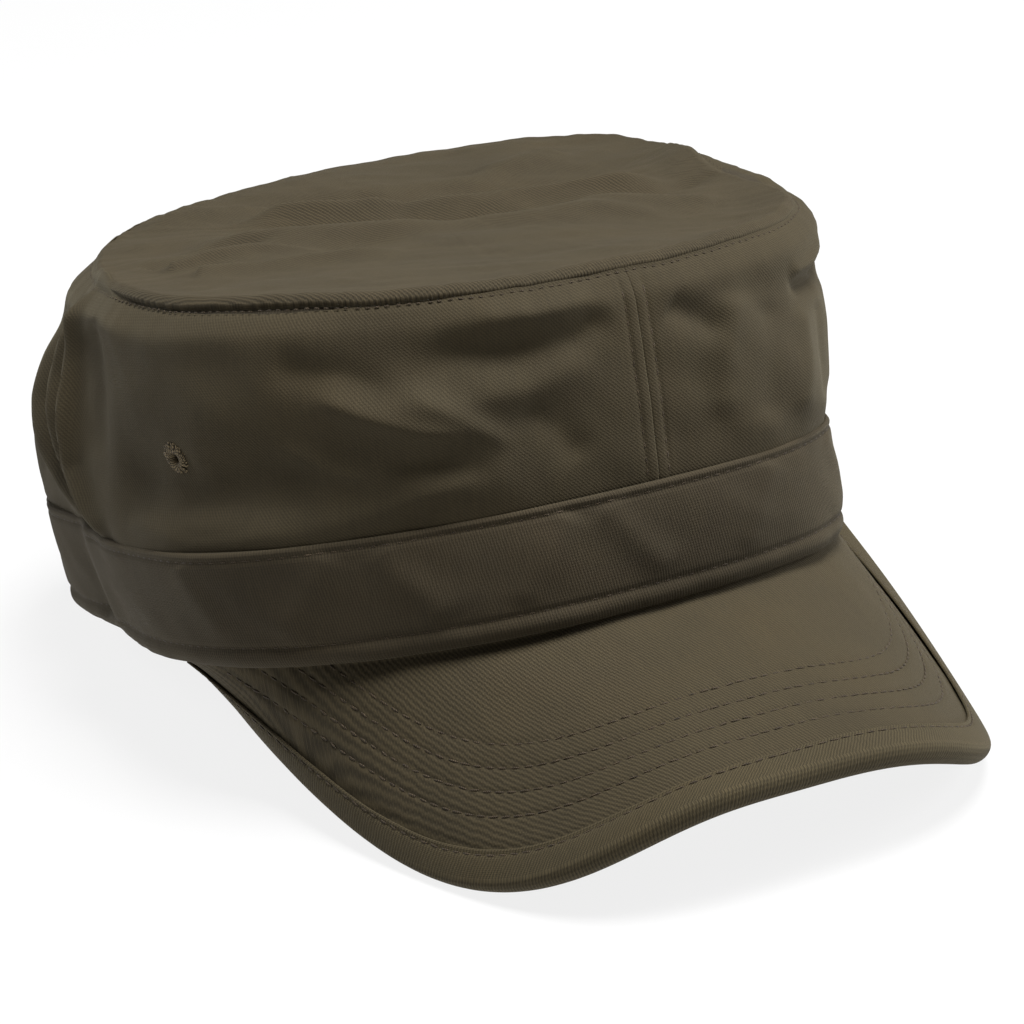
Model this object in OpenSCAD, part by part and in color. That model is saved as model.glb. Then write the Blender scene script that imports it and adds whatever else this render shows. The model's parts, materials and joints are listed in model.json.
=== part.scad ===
// Soft cotton-twill army cap with a curved peak, a wide outer band and a hook-and-loop size
// adjuster at the back. Front is -Y, the wearer's left is +X. Every piece is drawn in the cap's
// own frame, with the head opening in the plane z = 0, and stand() then tips the cap back so
// that it rests on the two corners of the peak and on the rear edge of the band.

/* [Crown] */
// Outer length of the head opening, front to back
opening_length = 204; // [190:1:216]
// Outer width of the head opening
opening_width = 172; // [158:1:184]
// Length of the flat top
top_length = 186; // [174:1:196]
// Width of the flat top
top_width = 160; // [146:1:170]
// Height of the crown at the front
front_height = 74; // [66:1:86]
// Height of the crown at the back
back_height = 90; // [80:1:100]
// How far the wall swells past a straight line from rim to top
wall_swell = 7; // [3:0.5:9]
// How far the flat top sits forward of the head opening
top_forward = 9; // [0:1:12]
// Squareness of the oval, 2 being an ellipse
oval_power = 2.4; // [2.1:0.1:2.7]

/* [Band] */
// Height of the outer band
band_height = 27; // [22:1:34]
// Height of the sweatband
sweatband_height = 33; // [28:1:38]
// Thickness of one ply of folded twill
ply = 1.0; // [0.8:0.05:1.1]

/* [Peak] */
// Reach of the peak past the band, seen from above
peak_reach = 53; // [44:1:60]
// Width of the peak
peak_width = 164; // [154:1:166]
// Drop of the peak's edge at its centre
peak_drop = 31; // [20:1:34]
// Further drop at the two corners
corner_drop = 17; // [10:1:20]
// Thickness of the plastic board
board_thick = 1.8; // [1.4:0.1:2]
// Width of the binding on the peak's upper face
binding_width = 6.0; // [5:0.2:12]

/* [Size adjuster] */
// Half the angle that the opening at the back takes, seen from the cap's centre
arch_half_angle = 24; // [22:1:26]
// Height of the opening's arch
arch_height = 44; // [40:1:50]
// Height of the two closing tabs
tab_height = 19; // [17:1:21]
// Angle that each tab reaches past the centre of the back
tab_reach = 17; // [14:1:18]

/* [Eyelets] */
// Angle of each eyelet from the front, seen from the cap's centre
eyelet_angle = 62; // [56:1:90]
// Height of each eyelet over the rim
eyelet_height = 47; // [42:1:52]
// Radius of the ventilation hole
eyelet_hole = 1.2; // [1:0.1:1.4]

/* [Hidden] */

olive = "#4b4436";
olive_dark = "#3f392d";
thread_olive = "#3a3529";
board_white = "#d8d8d2";
velcro_dark = "#2e2a22";
label_white = "#dcdad2";

gap = 0.15;                       // air between neighbouring layers
rim_a = opening_length / 2;
rim_b = opening_width / 2;
top_a = top_length / 2;
top_b = top_width / 2;
height_mid = (front_height + back_height) / 2;
height_slope = (back_height - front_height) / 2;

// Layers of the wall, as [inner, outer] offsets from the crown's outer face
crown_layer = [-ply, 0];
band_layer = [gap, gap + 1.2 * ply];
tape_layer = [-ply - gap - 0.8, -ply - gap - 0.1];
core_layer = [tape_layer[0] - gap - 0.9, tape_layer[0] - gap];
sweat_layer = [core_layer[0] - gap - 0.8, core_layer[0] - gap];
hook_tab_layer = [-0.6, band_layer[1]];
hook_patch_layer = [hook_tab_layer[0] - 1.15, hook_tab_layer[0] - 0.15];
loop_patch_layer = [hook_patch_layer[0] - 1.15, hook_patch_layer[0] - 0.15];
loop_tab_layer = [loop_patch_layer[0] - 1.85, loop_patch_layer[0] - 0.15];

// Layers of the peak, as [lower, upper] offsets from its upper face
cover = 0.8;
peak_gap = 0.25;
top_cover_layer = [-cover, 0];
board_layer = [-cover - peak_gap - board_thick, -cover - peak_gap];
under_cover_layer = [board_layer[0] - peak_gap - cover, board_layer[0] - peak_gap];
peak_thick = -under_cover_layer[0];
thread = 0.5;

// ---------- curves and surfaces ----------

function mix(a, b, t) = a + (b - a) * t;
function unit(v) = v / norm(v);
function steps(from, to, n) = [for (i = [0 : n]) mix(from, to, i / n)];
function signed_power(x, p) = sign(x) * pow(abs(x), p);

// Distance from the cap's axis to an oval of half-length a and half-width b, at angle phi from the front
function oval_radius(phi, a, b) =
    pow(pow(abs(sin(phi)) / b, oval_power) + pow(abs(cos(phi)) / a, oval_power), -1 / oval_power);

function crown_height(phi) = height_mid - height_slope * cos(phi);

// A point of the crown's wall at angle phi and height z, moved outward by off
function wall_point(phi, z, off) =
    let (
        t = z / crown_height(phi),
        swell = wall_swell * 4 * t * (1 - t),
        r = oval_radius(phi, mix(rim_a, top_a, t) + swell, mix(rim_b, top_b, t) + swell) + off
    )
    [r * sin(phi), -r * cos(phi) - top_forward * t, z];

// The peak's inner edge lies under the band, its outer edge is a rounded and drooping curve.
// s runs from -1 at the wearer's right end to 1 at the left end
peak_end_angle = 71;
rim_drop = 0.6;                   // the peak starts this far under the rim
peak_back_y = -28;
peak_corner_power = 2 / 3.2;
peak_front_power = 2 / 1.63;
function peak_inner(s) =
    let (r = oval_radius(peak_end_angle * s, rim_a, rim_b) - ply)
    [r * sin(peak_end_angle * s), -r * cos(peak_end_angle * s), -rim_drop];
function peak_outer(s) =
    let (t = 90 * s, c = max(cos(t), 0))
    [
        peak_width / 2 * signed_power(sin(t), peak_corner_power),
        peak_back_y - (rim_a + peak_reach + peak_back_y) * pow(c, peak_front_power),
        -rim_drop - peak_drop * pow(c, 0.65) - corner_drop * pow(sin(2 * t), 2)
    ];
function peak_surface(s, u) = mix(peak_inner(s), peak_outer(s), u);
function peak_normal(s, u) =
    let (
        h = 0.01,
        along = peak_surface(s + h, u) - peak_surface(s - h, u),
        out = peak_outer(s) - peak_inner(s)
    )
    unit(cross(out, along));
function peak_point(s, u, level) = peak_surface(s, u) + level * peak_normal(s, u);

// Direction that leaves the peak square to its outer edge
function edge_out(s) =
    let (h = 0.01) unit(cross(peak_outer(s + h) - peak_outer(s - h), peak_normal(s, 1)));

// u of the line that runs d inside the peak's outer edge
function inset(s, d) =
    let (across = (peak_outer(s) - peak_inner(s)) * edge_out(s))
    1 - d / max(across, d + 0.8);

// ---------- solids from sections ----------

// Skins a list of equal closed loops. Point i of a loop faces point m-1-i across the wall.
module loft(sections, ring = false) {
    n = len(sections);
    m = len(sections[0]);
    side_count = ring ? n : n - 1;
    sides = [for (i = [0 : side_count - 1], k = [0 : m - 1])
        let (a = i * m, b = ((i + 1) % n) * m, k2 = (k + 1) % m)
        each [[a + k, b + k2, b + k], [a + k, a + k2, b + k2]]];
    last = (n - 1) * m;
    caps = ring ? [] : [for (k = [0 : m / 2 - 2])
        each [
            [k, m - 2 - k, k + 1], [k, m - 1 - k, m - 2 - k],
            [last + k, last + k + 1, last + m - 2 - k],
            [last + k, last + m - 2 - k, last + m - 1 - k]
        ]];
    polyhedron(points = [for (section = sections) each section], faces = concat(sides, caps));
}

// A sheet of the wall over the angles phis, from the heights low to the heights high
function wall_sections(phis, low, high, layer, n) =
    [for (i = [0 : len(phis) - 1])
        let (zs = steps(low[i], high[i], n))
        concat(
            [for (k = [0 : n]) wall_point(phis[i], zs[k], layer[1])],
            [for (k = [0 : n]) wall_point(phis[i], zs[n - k], layer[0])]
        )];
module wall_sheet(phis, low, high, layer, n = 2, ring = false)
    loft(wall_sections(phis, low, high, layer, n), ring);

function same(phis, value) = [for (phi = phis) value];

// A layer of the peak between two u lines given at each s
module peak_sheet(stations, u0, u1, layer, n = 4)
    loft([for (i = [0 : len(stations) - 1])
        let (us = steps(u0[i], u1[i], n), s = stations[i])
        concat(
            [for (k = [0 : n]) peak_point(s, us[n - k], layer[1])],
            [for (k = [0 : n]) peak_point(s, us[k], layer[0])]
        )]);

// A flat thread along a line on the wall
module wall_thread(phis, heights, off, ring = false)
    loft([for (i = [0 : len(phis) - 1])
        let (phi = phis[i], z = heights[i])
        [
            wall_point(phi, z - thread / 2, off + thread),
            wall_point(phi, z + thread / 2, off + thread),
            wall_point(phi, z + thread / 2, off),
            wall_point(phi, z - thread / 2, off)
        ]], ring);

// A flat thread that runs d inside the peak's edge
module peak_line_thread(d, reach, level)
    loft([for (s = steps(-reach, reach, 48))
        let (u = inset(s, d), du = thread / 2 / norm(peak_outer(s) - peak_inner(s)))
        [
            peak_point(s, u + du, level + thread),
            peak_point(s, u - du, level + thread),
            peak_point(s, u - du, level),
            peak_point(s, u + du, level)
        ]]);

// ---------- angles and heights that pieces share ----------

arch_start = 180 - arch_half_angle;             // angle of the opening's edge
wall_end = arch_start - 0.5;                    // where band, sweatband and stitching stop
binding_turn = 1.0;                             // the arch binding's width, as an angle
around = steps(-wall_end, wall_end, 62);
full_ring = [for (i = [0 : 71]) -180 + 5 * i];
front_ring = [for (phi = full_ring) -phi];
peak_stations = steps(-0.98, 0.98, 60);

// The arch is a squarish half oval, with nearly upright legs where the tabs leave it
arch_power = 3;
function arch_curve(x) = pow(max(1 - pow(x, arch_power), 0), 1 / arch_power);

// Lower edge of a layer of the wall: its own base, raised over the arch
function over_arch(phi, base) =
    let (d = 180 - abs(phi), half = arch_half_angle + 0.3)
    d < half ? max(base, 0.3 + (arch_height + 0.1) * arch_curve(d / half)) : base;

// Angles at which the crown's wall runs up to the arch
arch_angles = [for (d = [24.25, 24.1, 23.7, 22.8, 21.2, 18.5, 15, 11, 6]) 180 - d * arch_half_angle / 24];
side_angles = concat([0.08], steps(5, 150, 29), [153], arch_angles, [179.9]);

// ---------- crown ----------

module crown_side(hand) {
    low = [for (phi = side_angles) over_arch(phi, 0.6)];
    high = [for (phi = side_angles) crown_height(phi) - gap];
    difference() {
        mirror([hand < 0 ? 1 : 0, 0, 0]) wall_sheet(side_angles, low, high, crown_layer, 7);
        at_eyelet(hand) cylinder(h = 8, r = eyelet_hole + 1.05, center = true, $fn = 32);
    }
}
module crown_side_left() color(olive) crown_side(1);
module crown_side_right() color(olive) crown_side(-1);

// The flat top is a disc whose edge lies on the wall's upper edge
module crown_top() {
    rings = 4;
    count = len(full_ring);
    function disc_point(phi, j, level) =
        let (edge = wall_point(phi, crown_height(phi), 0), u = j / rings)
        [
            u * edge[0],
            u * edge[1] + (u - 1) * top_forward,
            mix(height_mid, edge[2], u) + 1.2 * (1 - u * u) + level
        ];
    disc = [for (level = [ply, 0.05], j = [1 : rings], phi = full_ring) disc_point(phi, j, level)];
    hubs = [disc_point(0, 0, ply), disc_point(0, 0, 0.05)];
    per = rings * count;
    faces = [
        for (i = [0 : count - 1])
        let (i2 = (i + 1) % count)
        each concat(
            [[2 * per, i2, i], [2 * per + 1, per + i, per + i2]],
            [for (j = [0 : rings - 2])
                let (a = j * count + i, b = j * count + i2, c = b + count, d = a + count)
                each [[a, b, c], [a, c, d], [per + a, per + c, per + b], [per + a, per + d, per + c]]],
            let (a = per - count + i, b = per - count + i2)
            [[a, b, b + per], [a, b + per, a + per]]
        )
    ];
    color(olive) polyhedron(points = concat(disc, hubs), faces = faces);
}

// Cotton tapes that cover the raw seams inside
tape_drop = 9;
module top_seam_tape()
    color(olive_dark)
        wall_sheet(
            full_ring,
            [for (phi = full_ring) crown_height(phi) - tape_drop],
            [for (phi = full_ring) crown_height(phi) - 2 * gap],
            tape_layer, 1, ring = true);
module seam_tape(phis, low)
    color(olive_dark)
        wall_sheet(
            phis, same(phis, low), [for (phi = phis) crown_height(phi) - tape_drop - 0.5],
            tape_layer, 7);
module front_seam_tape() seam_tape([-4.4, -2.2, 0, 2.2, 4.4], 1);
module rear_seam_tape() seam_tape([175.6, 177.8, 180, 182.2, 184.4], arch_height + 1.5);

// ---------- band ----------

module hat_band()
    color(olive) wall_sheet(around, same(around, 0), same(around, band_height), band_layer, 3);
module sweatband_core()
    color(board_white)
        wall_sheet(around, same(around, 2), same(around, sweatband_height - 2), core_layer, 3);
module sweatband()
    color(olive_dark)
        wall_sheet(around, same(around, 0.8), same(around, sweatband_height), sweat_layer, 3);

// ---------- peak ----------

module peak_layer_solid(layer)
    peak_sheet(
        peak_stations, same(peak_stations, 0), [for (s = peak_stations) inset(s, 0.2)], layer);
module peak_board() color(board_white) peak_layer_solid(board_layer);
module peak_top_cover() color(olive) peak_layer_solid(top_cover_layer);
module peak_under_cover() color(olive) peak_layer_solid(under_cover_layer);

// Bias strip folded over the edge: upper lip, round nose, lower lip
lip = 0.7;
nose = 1.4;
function binding_section(s) =
    let (
        top = peak_gap,
        bottom = -peak_thick - peak_gap,
        e = edge_out(s),
        u = inset(s, binding_width),
        lip_at = function (u, level) peak_point(s, u, level),
        nose_at = function (out, level) peak_point(s, 1, level) + out * e
    )
    [
        lip_at(u, bottom - lip), lip_at((u + 1) / 2, bottom - lip), lip_at(1, bottom - lip),
        nose_at(nose * 0.7, bottom), nose_at(nose, bottom / 2), nose_at(nose * 0.7, top),
        lip_at(1, top + lip), lip_at((u + 1) / 2, top + lip), lip_at(u, top + lip),
        lip_at(u, top), lip_at((u + 1) / 2, top), lip_at(1, top),
        nose_at(0.3, top - lip), nose_at(0.4, bottom / 2), nose_at(0.3, bottom + lip),
        lip_at(1, bottom), lip_at((u + 1) / 2, bottom), lip_at(u, bottom)
    ];
binding_sections = [for (s = peak_stations) binding_section(s)];
module peak_binding() color(olive) loft(binding_sections);

// ---------- opening at the back ----------

// Binding round the arch, from one leg over the top to the other
module arch_binding() {
    inner = arch_half_angle - binding_turn;
    color(olive) loft([for (turn = steps(0, 180, 36))
        let (
            place = function (half, height, off)
                wall_point(
                    180 + half * signed_power(cos(turn), 2 / arch_power),
                    max(1.6, 0.3 + height * signed_power(sin(turn), 2 / arch_power)), off)
        )
        [
            place(arch_half_angle, arch_height - 0.3, band_layer[1]),
            place(inner, arch_height - 2, band_layer[1]),
            place(inner, arch_height - 2, sweat_layer[0]),
            place(arch_half_angle, arch_height - 0.3, sweat_layer[0])
        ]]);
}

// A tab hinges where it leaves the binding, at hinge_angle, and ends in a half-round
tab_low = 4;
tab_mid = tab_low + tab_height / 2;
hinge_angle = 180 - (arch_half_angle - binding_turn)
    * arch_curve((tab_low + tab_height) / (arch_height - 2)) + 1.2;
knuckle = 0.9;
function hinge_foot(layer) = wall_point(hinge_angle, tab_low + 1, (layer[0] + layer[1]) / 2);
function hinge_head(layer) = wall_point(hinge_angle, tab_low + tab_height - 1, (layer[0] + layer[1]) / 2);

// Angles along a tab, closer together at its round end
tab_end = 180 + tab_reach;
tab_round = 5;
tab_angles = concat(
    steps(hinge_angle, tab_end - tab_round, 12),
    [for (turn = [15 : 15 : 75]) tab_end - tab_round + tab_round * sin(turn)]);
function tab_half(phi, half) =
    let (d = max(phi - (tab_end - tab_round), 0) / tab_round)
    half * (0.35 + 0.65 * sqrt(max(1 - d * d, 0)));

module tab_sheet(layer)
    wall_sheet(
        tab_angles, [for (phi = tab_angles) tab_mid - tab_half(phi, tab_height / 2)],
        [for (phi = tab_angles) tab_mid + tab_half(phi, tab_height / 2)], layer, 4);

// The rolled fold that the tab turns on
module tab_knuckle(layer) {
    pin = hinge_head(layer) - hinge_foot(layer);
    translate(hinge_foot(layer))
        rotate([0, acos(pin[2] / norm(pin)), atan2(pin[1], pin[0])])
            cylinder(h = norm(pin), r = knuckle, $fn = 32);
}
module tab_patch(layer) {
    patch = steps(180 - tab_reach + 2, tab_end - 3, 8);
    wall_sheet(
        patch, same(patch, tab_low + 2.5), same(patch, tab_low + tab_height - 2.5), layer, 3);
}
module tab_stitches(layer) {
    line = steps(hinge_angle + 3, tab_end - tab_round, 10);
    for (z = [tab_low + 2, tab_low + tab_height - 2]) wall_thread(line, same(line, z), layer[1] + 0.05);
}
module hook_tab() color(olive) { tab_sheet(hook_tab_layer); tab_knuckle(hook_tab_layer); }
module hook_patch() color(velcro_dark) tab_patch(hook_patch_layer);
module hook_tab_thread() color(thread_olive) tab_stitches(hook_tab_layer);
module loop_tab()
    mirror([1, 0, 0]) color(olive) { tab_sheet(loop_tab_layer); tab_knuckle(loop_tab_layer); }
module loop_patch() mirror([1, 0, 0]) color(velcro_dark) tab_patch(loop_patch_layer);
module loop_tab_thread()
    mirror([1, 0, 0]) color(thread_olive) {
        line = steps(hinge_angle + 3, 180 - tab_reach, 4);
        for (z = [tab_low + 2, tab_low + tab_height - 2])
            wall_thread(line, same(line, z), loop_tab_layer[1] + 0.05);
    }

// ---------- eyelets and labels ----------

// Places its children at an eyelet, +Z pointing out of the wall
module at_eyelet(hand) {
    h = 0.5;
    here = wall_point(eyelet_angle, eyelet_height, 0);
    across = wall_point(eyelet_angle + h, eyelet_height, 0) - wall_point(eyelet_angle - h, eyelet_height, 0);
    up = wall_point(eyelet_angle, eyelet_height + h, 0) - wall_point(eyelet_angle, eyelet_height - h, 0);
    out = unit(cross(across, up));
    turn = atan2(out[1], out[0]);
    mirror([hand < 0 ? 1 : 0, 0, 0])
        translate(here) rotate([0, acos(out[2]), turn]) children();
}

// Embroidered ring: a flat collar on the outside and a sleeve through the hole
module eyelet(hand)
    color(thread_olive)
        at_eyelet(hand)
            rotate_extrude($fn = 40)
                polygon([
                    [eyelet_hole, -ply - 0.5], [eyelet_hole + 0.8, -ply - 0.5],
                    [eyelet_hole + 0.8, 0.3], [3.6, 0.3], [3.4, 0.75], [eyelet_hole, 0.9]
                ]);
module eyelet_left() eyelet(1);
module eyelet_right() eyelet(-1);

// Woven labels caught in the sweatband's lower seam
module label(centre, half, height)
    color(label_white)
        wall_sheet(
            steps(centre - half, centre + half, 4), same(steps(0, 1, 4), 3), same(steps(0, 1, 4), height),
            [sweat_layer[0] - 0.6, sweat_layer[0] - 0.2], 1);
module size_label() label(134, 4.5, 17);
module care_label() label(-128, 9, 30);

// ---------- thread ----------

module crown_seam_thread()
    color(thread_olive)
        wall_thread(full_ring, [for (phi = full_ring) crown_height(phi) - 1.6], 0.15, ring = true);
module seam_thread(phi, low, high)
    color(thread_olive)
        for (side = [-1, 1])
            loft([for (z = steps(low, high, 8))
                let (edge = function (turn, off) wall_point(phi + side * 1.7 + turn, z, off))
                [edge(-0.15, 0.1), edge(0.15, 0.1), edge(0.15, 0.1 + thread), edge(-0.15, 0.1 + thread)]]);
module front_seam_thread() seam_thread(0, band_height + 1, front_height - 2.4);
module rear_seam_thread() seam_thread(180, arch_height + 2.5, back_height - 2.4);
module band_thread()
    color(thread_olive)
        for (z = [4.8, band_height - 1.8]) wall_thread(around, same(around, z), band_layer[1] + 0.05);
module peak_thread()
    color(thread_olive)
        for (row = [0 : 3]) peak_line_thread(binding_width + 7.6 + 5.6 * row, 0.86 - 0.035 * row, 0.15);
module binding_thread()
    color(thread_olive) peak_line_thread(binding_width - 1.3, 0.93, peak_gap + lip + 0.12);

// ---------- the whole cap ----------

// The cap tips back until the peak's corners and the band's rear edge stand on one plane, which
// becomes z = 0, and the origin is put under the middle of the cap's box
function tipped_y(p, tip) = p[1] * cos(tip) + p[2] * sin(tip);
function tipped_z(p, tip) = p[2] * cos(tip) - p[1] * sin(tip);
function lowest(points, tip) = min([for (p = points) tipped_z(p, tip)]);
peak_points = [for (section = binding_sections) each section];
rim_points = [for (phi = around) wall_point(phi, 0, band_layer[1])];
back_points = [for (z = steps(arch_height + 0.4, back_height - gap, 7)) wall_point(179.9, z, 0)];
function level_tip(low, high, n) =
    let (tip = (low + high) / 2)
    n == 0 ? tip
        : lowest(peak_points, tip) < lowest(rim_points, tip)
            ? level_tip(tip, high, n - 1) : level_tip(low, tip, n - 1);
stand_angle = level_tip(0, 30, 24);
stand_y = -(min([for (p = peak_points) tipped_y(p, stand_angle)])
    + max([for (p = back_points) tipped_y(p, stand_angle)])) / 2;
module stand()
    translate([0, stand_y, -lowest(peak_points, stand_angle)])
        rotate([-stand_angle, 0, 0]) children();

stand() crown_top();
stand() crown_side_left();
stand() crown_side_right();
stand() top_seam_tape();
stand() front_seam_tape();
stand() rear_seam_tape();
stand() hat_band();
stand() sweatband();
stand() sweatband_core();
stand() peak_board();
stand() peak_top_cover();
stand() peak_under_cover();
stand() peak_binding();
stand() arch_binding();
stand() eyelet_left();
stand() eyelet_right();
stand() hook_tab();
stand() hook_patch();
stand() loop_tab();
stand() loop_patch();
stand() size_label();
stand() care_label();
stand() crown_seam_thread();
stand() front_seam_thread();
stand() rear_seam_thread();
stand() band_thread();
stand() peak_thread();
stand() binding_thread();
stand() hook_tab_thread();
stand() loop_tab_thread();
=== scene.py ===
import json
import math

import bpy
import numpy as np
from mathutils import Matrix, Vector


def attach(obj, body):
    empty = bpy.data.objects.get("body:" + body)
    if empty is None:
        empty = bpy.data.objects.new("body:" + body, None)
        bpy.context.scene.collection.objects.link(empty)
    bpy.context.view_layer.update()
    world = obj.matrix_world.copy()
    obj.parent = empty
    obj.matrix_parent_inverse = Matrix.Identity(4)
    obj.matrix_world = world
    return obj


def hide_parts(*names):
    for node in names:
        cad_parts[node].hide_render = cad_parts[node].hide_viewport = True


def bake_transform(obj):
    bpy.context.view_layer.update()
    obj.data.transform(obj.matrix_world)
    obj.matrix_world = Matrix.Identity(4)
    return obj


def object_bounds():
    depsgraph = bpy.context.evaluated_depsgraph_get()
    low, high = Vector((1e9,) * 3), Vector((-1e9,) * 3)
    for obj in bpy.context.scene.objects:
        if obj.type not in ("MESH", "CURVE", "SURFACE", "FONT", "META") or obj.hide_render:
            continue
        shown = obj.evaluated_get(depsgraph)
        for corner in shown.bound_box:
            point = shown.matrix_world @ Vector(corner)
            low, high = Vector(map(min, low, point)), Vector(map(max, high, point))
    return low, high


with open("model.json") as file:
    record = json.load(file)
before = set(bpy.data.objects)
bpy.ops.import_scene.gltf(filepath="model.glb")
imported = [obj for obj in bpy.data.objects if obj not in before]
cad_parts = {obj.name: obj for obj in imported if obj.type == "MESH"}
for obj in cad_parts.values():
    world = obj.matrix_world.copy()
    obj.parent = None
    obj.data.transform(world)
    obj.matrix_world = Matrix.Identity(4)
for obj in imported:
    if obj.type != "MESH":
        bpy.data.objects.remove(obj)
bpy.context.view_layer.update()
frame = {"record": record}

# ---------------------------------------------------------------- cap frame
# Shapes are worked out in the cap's own frame, in mm: the head opening is z = 0, the front is -Y.
# The record's head_opening mount says how that frame is tipped and where it stands.
mount = frame["record"]["mounts"][0]
SHIFT = np.array(mount["pos_m"]) * 1000.0
TIP = math.atan2(-mount["axis"][1], -mount["axis"][2])
CT, ST = math.cos(TIP), math.sin(TIP)


def to_row(p):
    """Cap frame in mm to row frame in metres."""
    p = np.asarray(p, float)
    x, y, z = p[..., 0], p[..., 1], p[..., 2]
    return np.stack([x + SHIFT[0], y * CT + z * ST + SHIFT[1], z * CT - y * ST + SHIFT[2]], -1) / 1000.0


RIM_A, RIM_B, TOP_A, TOP_B = 102.0, 86.0, 93.0, 80.0
FRONT_H, BACK_H, SWELL, FORWARD, POWER = 74.0, 90.0, 7.0, 9.0, 2.4
BAND_H, SWEAT_H, PLY = 27.0, 33.0, 1.0
REACH, PEAK_W, DROP, CORNER = 53.0, 164.0, 31.0, 17.0
BINDING_W, BOARD, COVER, PEAK_GAP = 6.0, 1.8, 0.8, 0.25
ARCH_HALF, ARCH_H = 24.0, 44.0
PEAK_T = COVER + PEAK_GAP + BOARD + PEAK_GAP + COVER


def rad(d):
    return np.radians(d)


def smooth(x, a, b):
    t = np.clip((np.asarray(x, float) - a) / (b - a), 0, 1)
    return t * t * (3 - 2 * t)


def hump(phi, centre, width):
    """1 at an angle round the head, falling smoothly to 0."""
    d = (np.asarray(phi, float) - centre + 180) % 360 - 180
    return np.exp(-(d / width) ** 2)


# where the slack crown stands above its even height: rise in mm, angle, width in degrees
CROWN_SLACK = ((2.3, -48, 24), (1.6, -82, 14), (0.5, 168, 24), (3.2, 91, 15), (1.3, 132, 15), (-0.4, 109, 10))


def crown_height(phi):
    slack = sum(rise * hump(phi, centre, width) for rise, centre, width in CROWN_SLACK)
    turn = np.asarray(phi, float) * 64 / 360
    slack = slack + 0.3 * noise2(turn, 0 * turn + 0.5, 15) + 0.15 * noise2(3 * turn, 0 * turn + 0.5, 16)
    return (FRONT_H + BACK_H) / 2 - (BACK_H - FRONT_H) / 2 * np.cos(rad(phi)) + slack


def oval(phi, a, b):
    return (np.abs(np.sin(rad(phi)) / b) ** POWER + np.abs(np.cos(rad(phi)) / a) ** POWER) ** (-1 / POWER)


# How the limp cap has slumped: gentle waves in the oval at the rim, at the band's top and at the crown's top,
# as (cosine, sine) amounts in mm for 1, 2, 3 and 4 waves round the head
SLUMP = (((0.0, -1.5, 2.5, 0.9, -1.3), (-7.4, -1.0, -1.4, 3.3)),
         ((-1.0, -4.7, 1.9, 1.5, -1.3), (-8.4, -2.2, -1.9, 5.8)),
         ((0.4, 2.4, 0.4, 0.8, -1.0), (-0.5, -6.8, 4.0, 0.8)))


def slump(phi, t):
    at_rim, at_band, at_top = [], [], []
    for out, (c, s) in zip((at_rim, at_band, at_top), SLUMP):
        low = sum(c[k] * np.cos(rad(k * phi)) for k in range(3))
        low = low + sum(s[k - 1] * np.sin(rad(k * phi)) for k in (1, 2))
        high = sum(c[k] * np.cos(rad(k * phi)) + s[k - 1] * np.sin(rad(k * phi)) for k in (3, 4))
        out += [low, high]
    tm = 0.33
    wb = np.clip(1 - t / tm, 0, 1)
    wt = np.clip((t - tm) / (1 - tm), 0, 1)
    wm = 1 - wb - wt
    low = wb * at_rim[0] + wm * at_band[0] + wt * at_top[0]
    high = wb * at_rim[1] + wm * at_band[1] + wt * at_top[1]
    p = (np.asarray(phi, float) + 180) % 360 - 180
    keep_low = smooth(p, -156, -118) * smooth(-p, -156, -80)
    keep_high = smooth(p, -156, -125) * smooth(-p, -85, -45)
    free = smooth(t, 0.55, 1.0)
    side = -(3.0 + 5.4 * smooth(t, 0.2, 0.5)) * hump(phi, 66, 18) * smooth(-t, -0.97, -0.8)
    rear = 6.5 * hump(phi, -119, 17) * np.exp(-((t - 0.66) / 0.24) ** 2)
    low, high = low * (keep_low + (1 - keep_low) * free), high * (keep_high + (1 - keep_high) * free)
    return low + high + side + rear


def roll_over(phi, t):
    """Outward and upward shift where the wall rolls over at a corner and hides the top seam."""
    v = np.clip((t - 0.84) / 0.16, 0, 1)
    h = hump(phi, 71, 25) + 0.15 * hump(phi, -108, 16)
    return h * (2.4 * np.sin(math.pi * v) - 3.0 * v * v), h * 5.0 * np.sin(math.pi * v) ** 1.5


def wall(phi, z, off):
    """The crown's outer face, as in the CAD: angle from the front in degrees, height, offset outward."""
    phi, z, off = np.broadcast_arrays(np.asarray(phi, float), np.asarray(z, float), np.asarray(off, float))
    t = z / crown_height(phi)
    swell = SWELL * 4 * t * (1 - t)
    a, b = RIM_A + (TOP_A - RIM_A) * t, RIM_B + (TOP_B - RIM_B) * t
    r = oval(phi, a + swell, b + swell) + off + slump(phi, t)
    dr, dz = roll_over(phi, t)
    r = r + dr
    return np.stack([r * np.sin(rad(phi)), -r * np.cos(rad(phi)) - FORWARD * t, z + dz], -1)


def arc_mm(phi):
    """Length round the wall from the front, in mm, for cloth coordinates."""
    grid = np.linspace(-200, 200, 801)
    p = wall(grid, 30.0, 0)
    s = np.concatenate([[0], np.cumsum(np.linalg.norm(np.diff(p, axis=0), axis=1))])
    s -= np.interp(0, grid, s)
    return np.interp(phi, grid, s)


def over_arch(phi, base, extra=0.3):
    d = 180 - np.abs(np.asarray(phi, float))
    half = ARCH_HALF + extra
    arch = 0.3 + (ARCH_H + 0.1) * np.cbrt(np.clip(1 - (d / half) ** 3, 0, 1))
    return np.where(d < half, np.maximum(base, arch), base)


# ---------------------------------------------------------------- smooth noise, seeded
def lattice(seed):
    return np.random.default_rng(seed).uniform(-1, 1, (64, 64))


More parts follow.
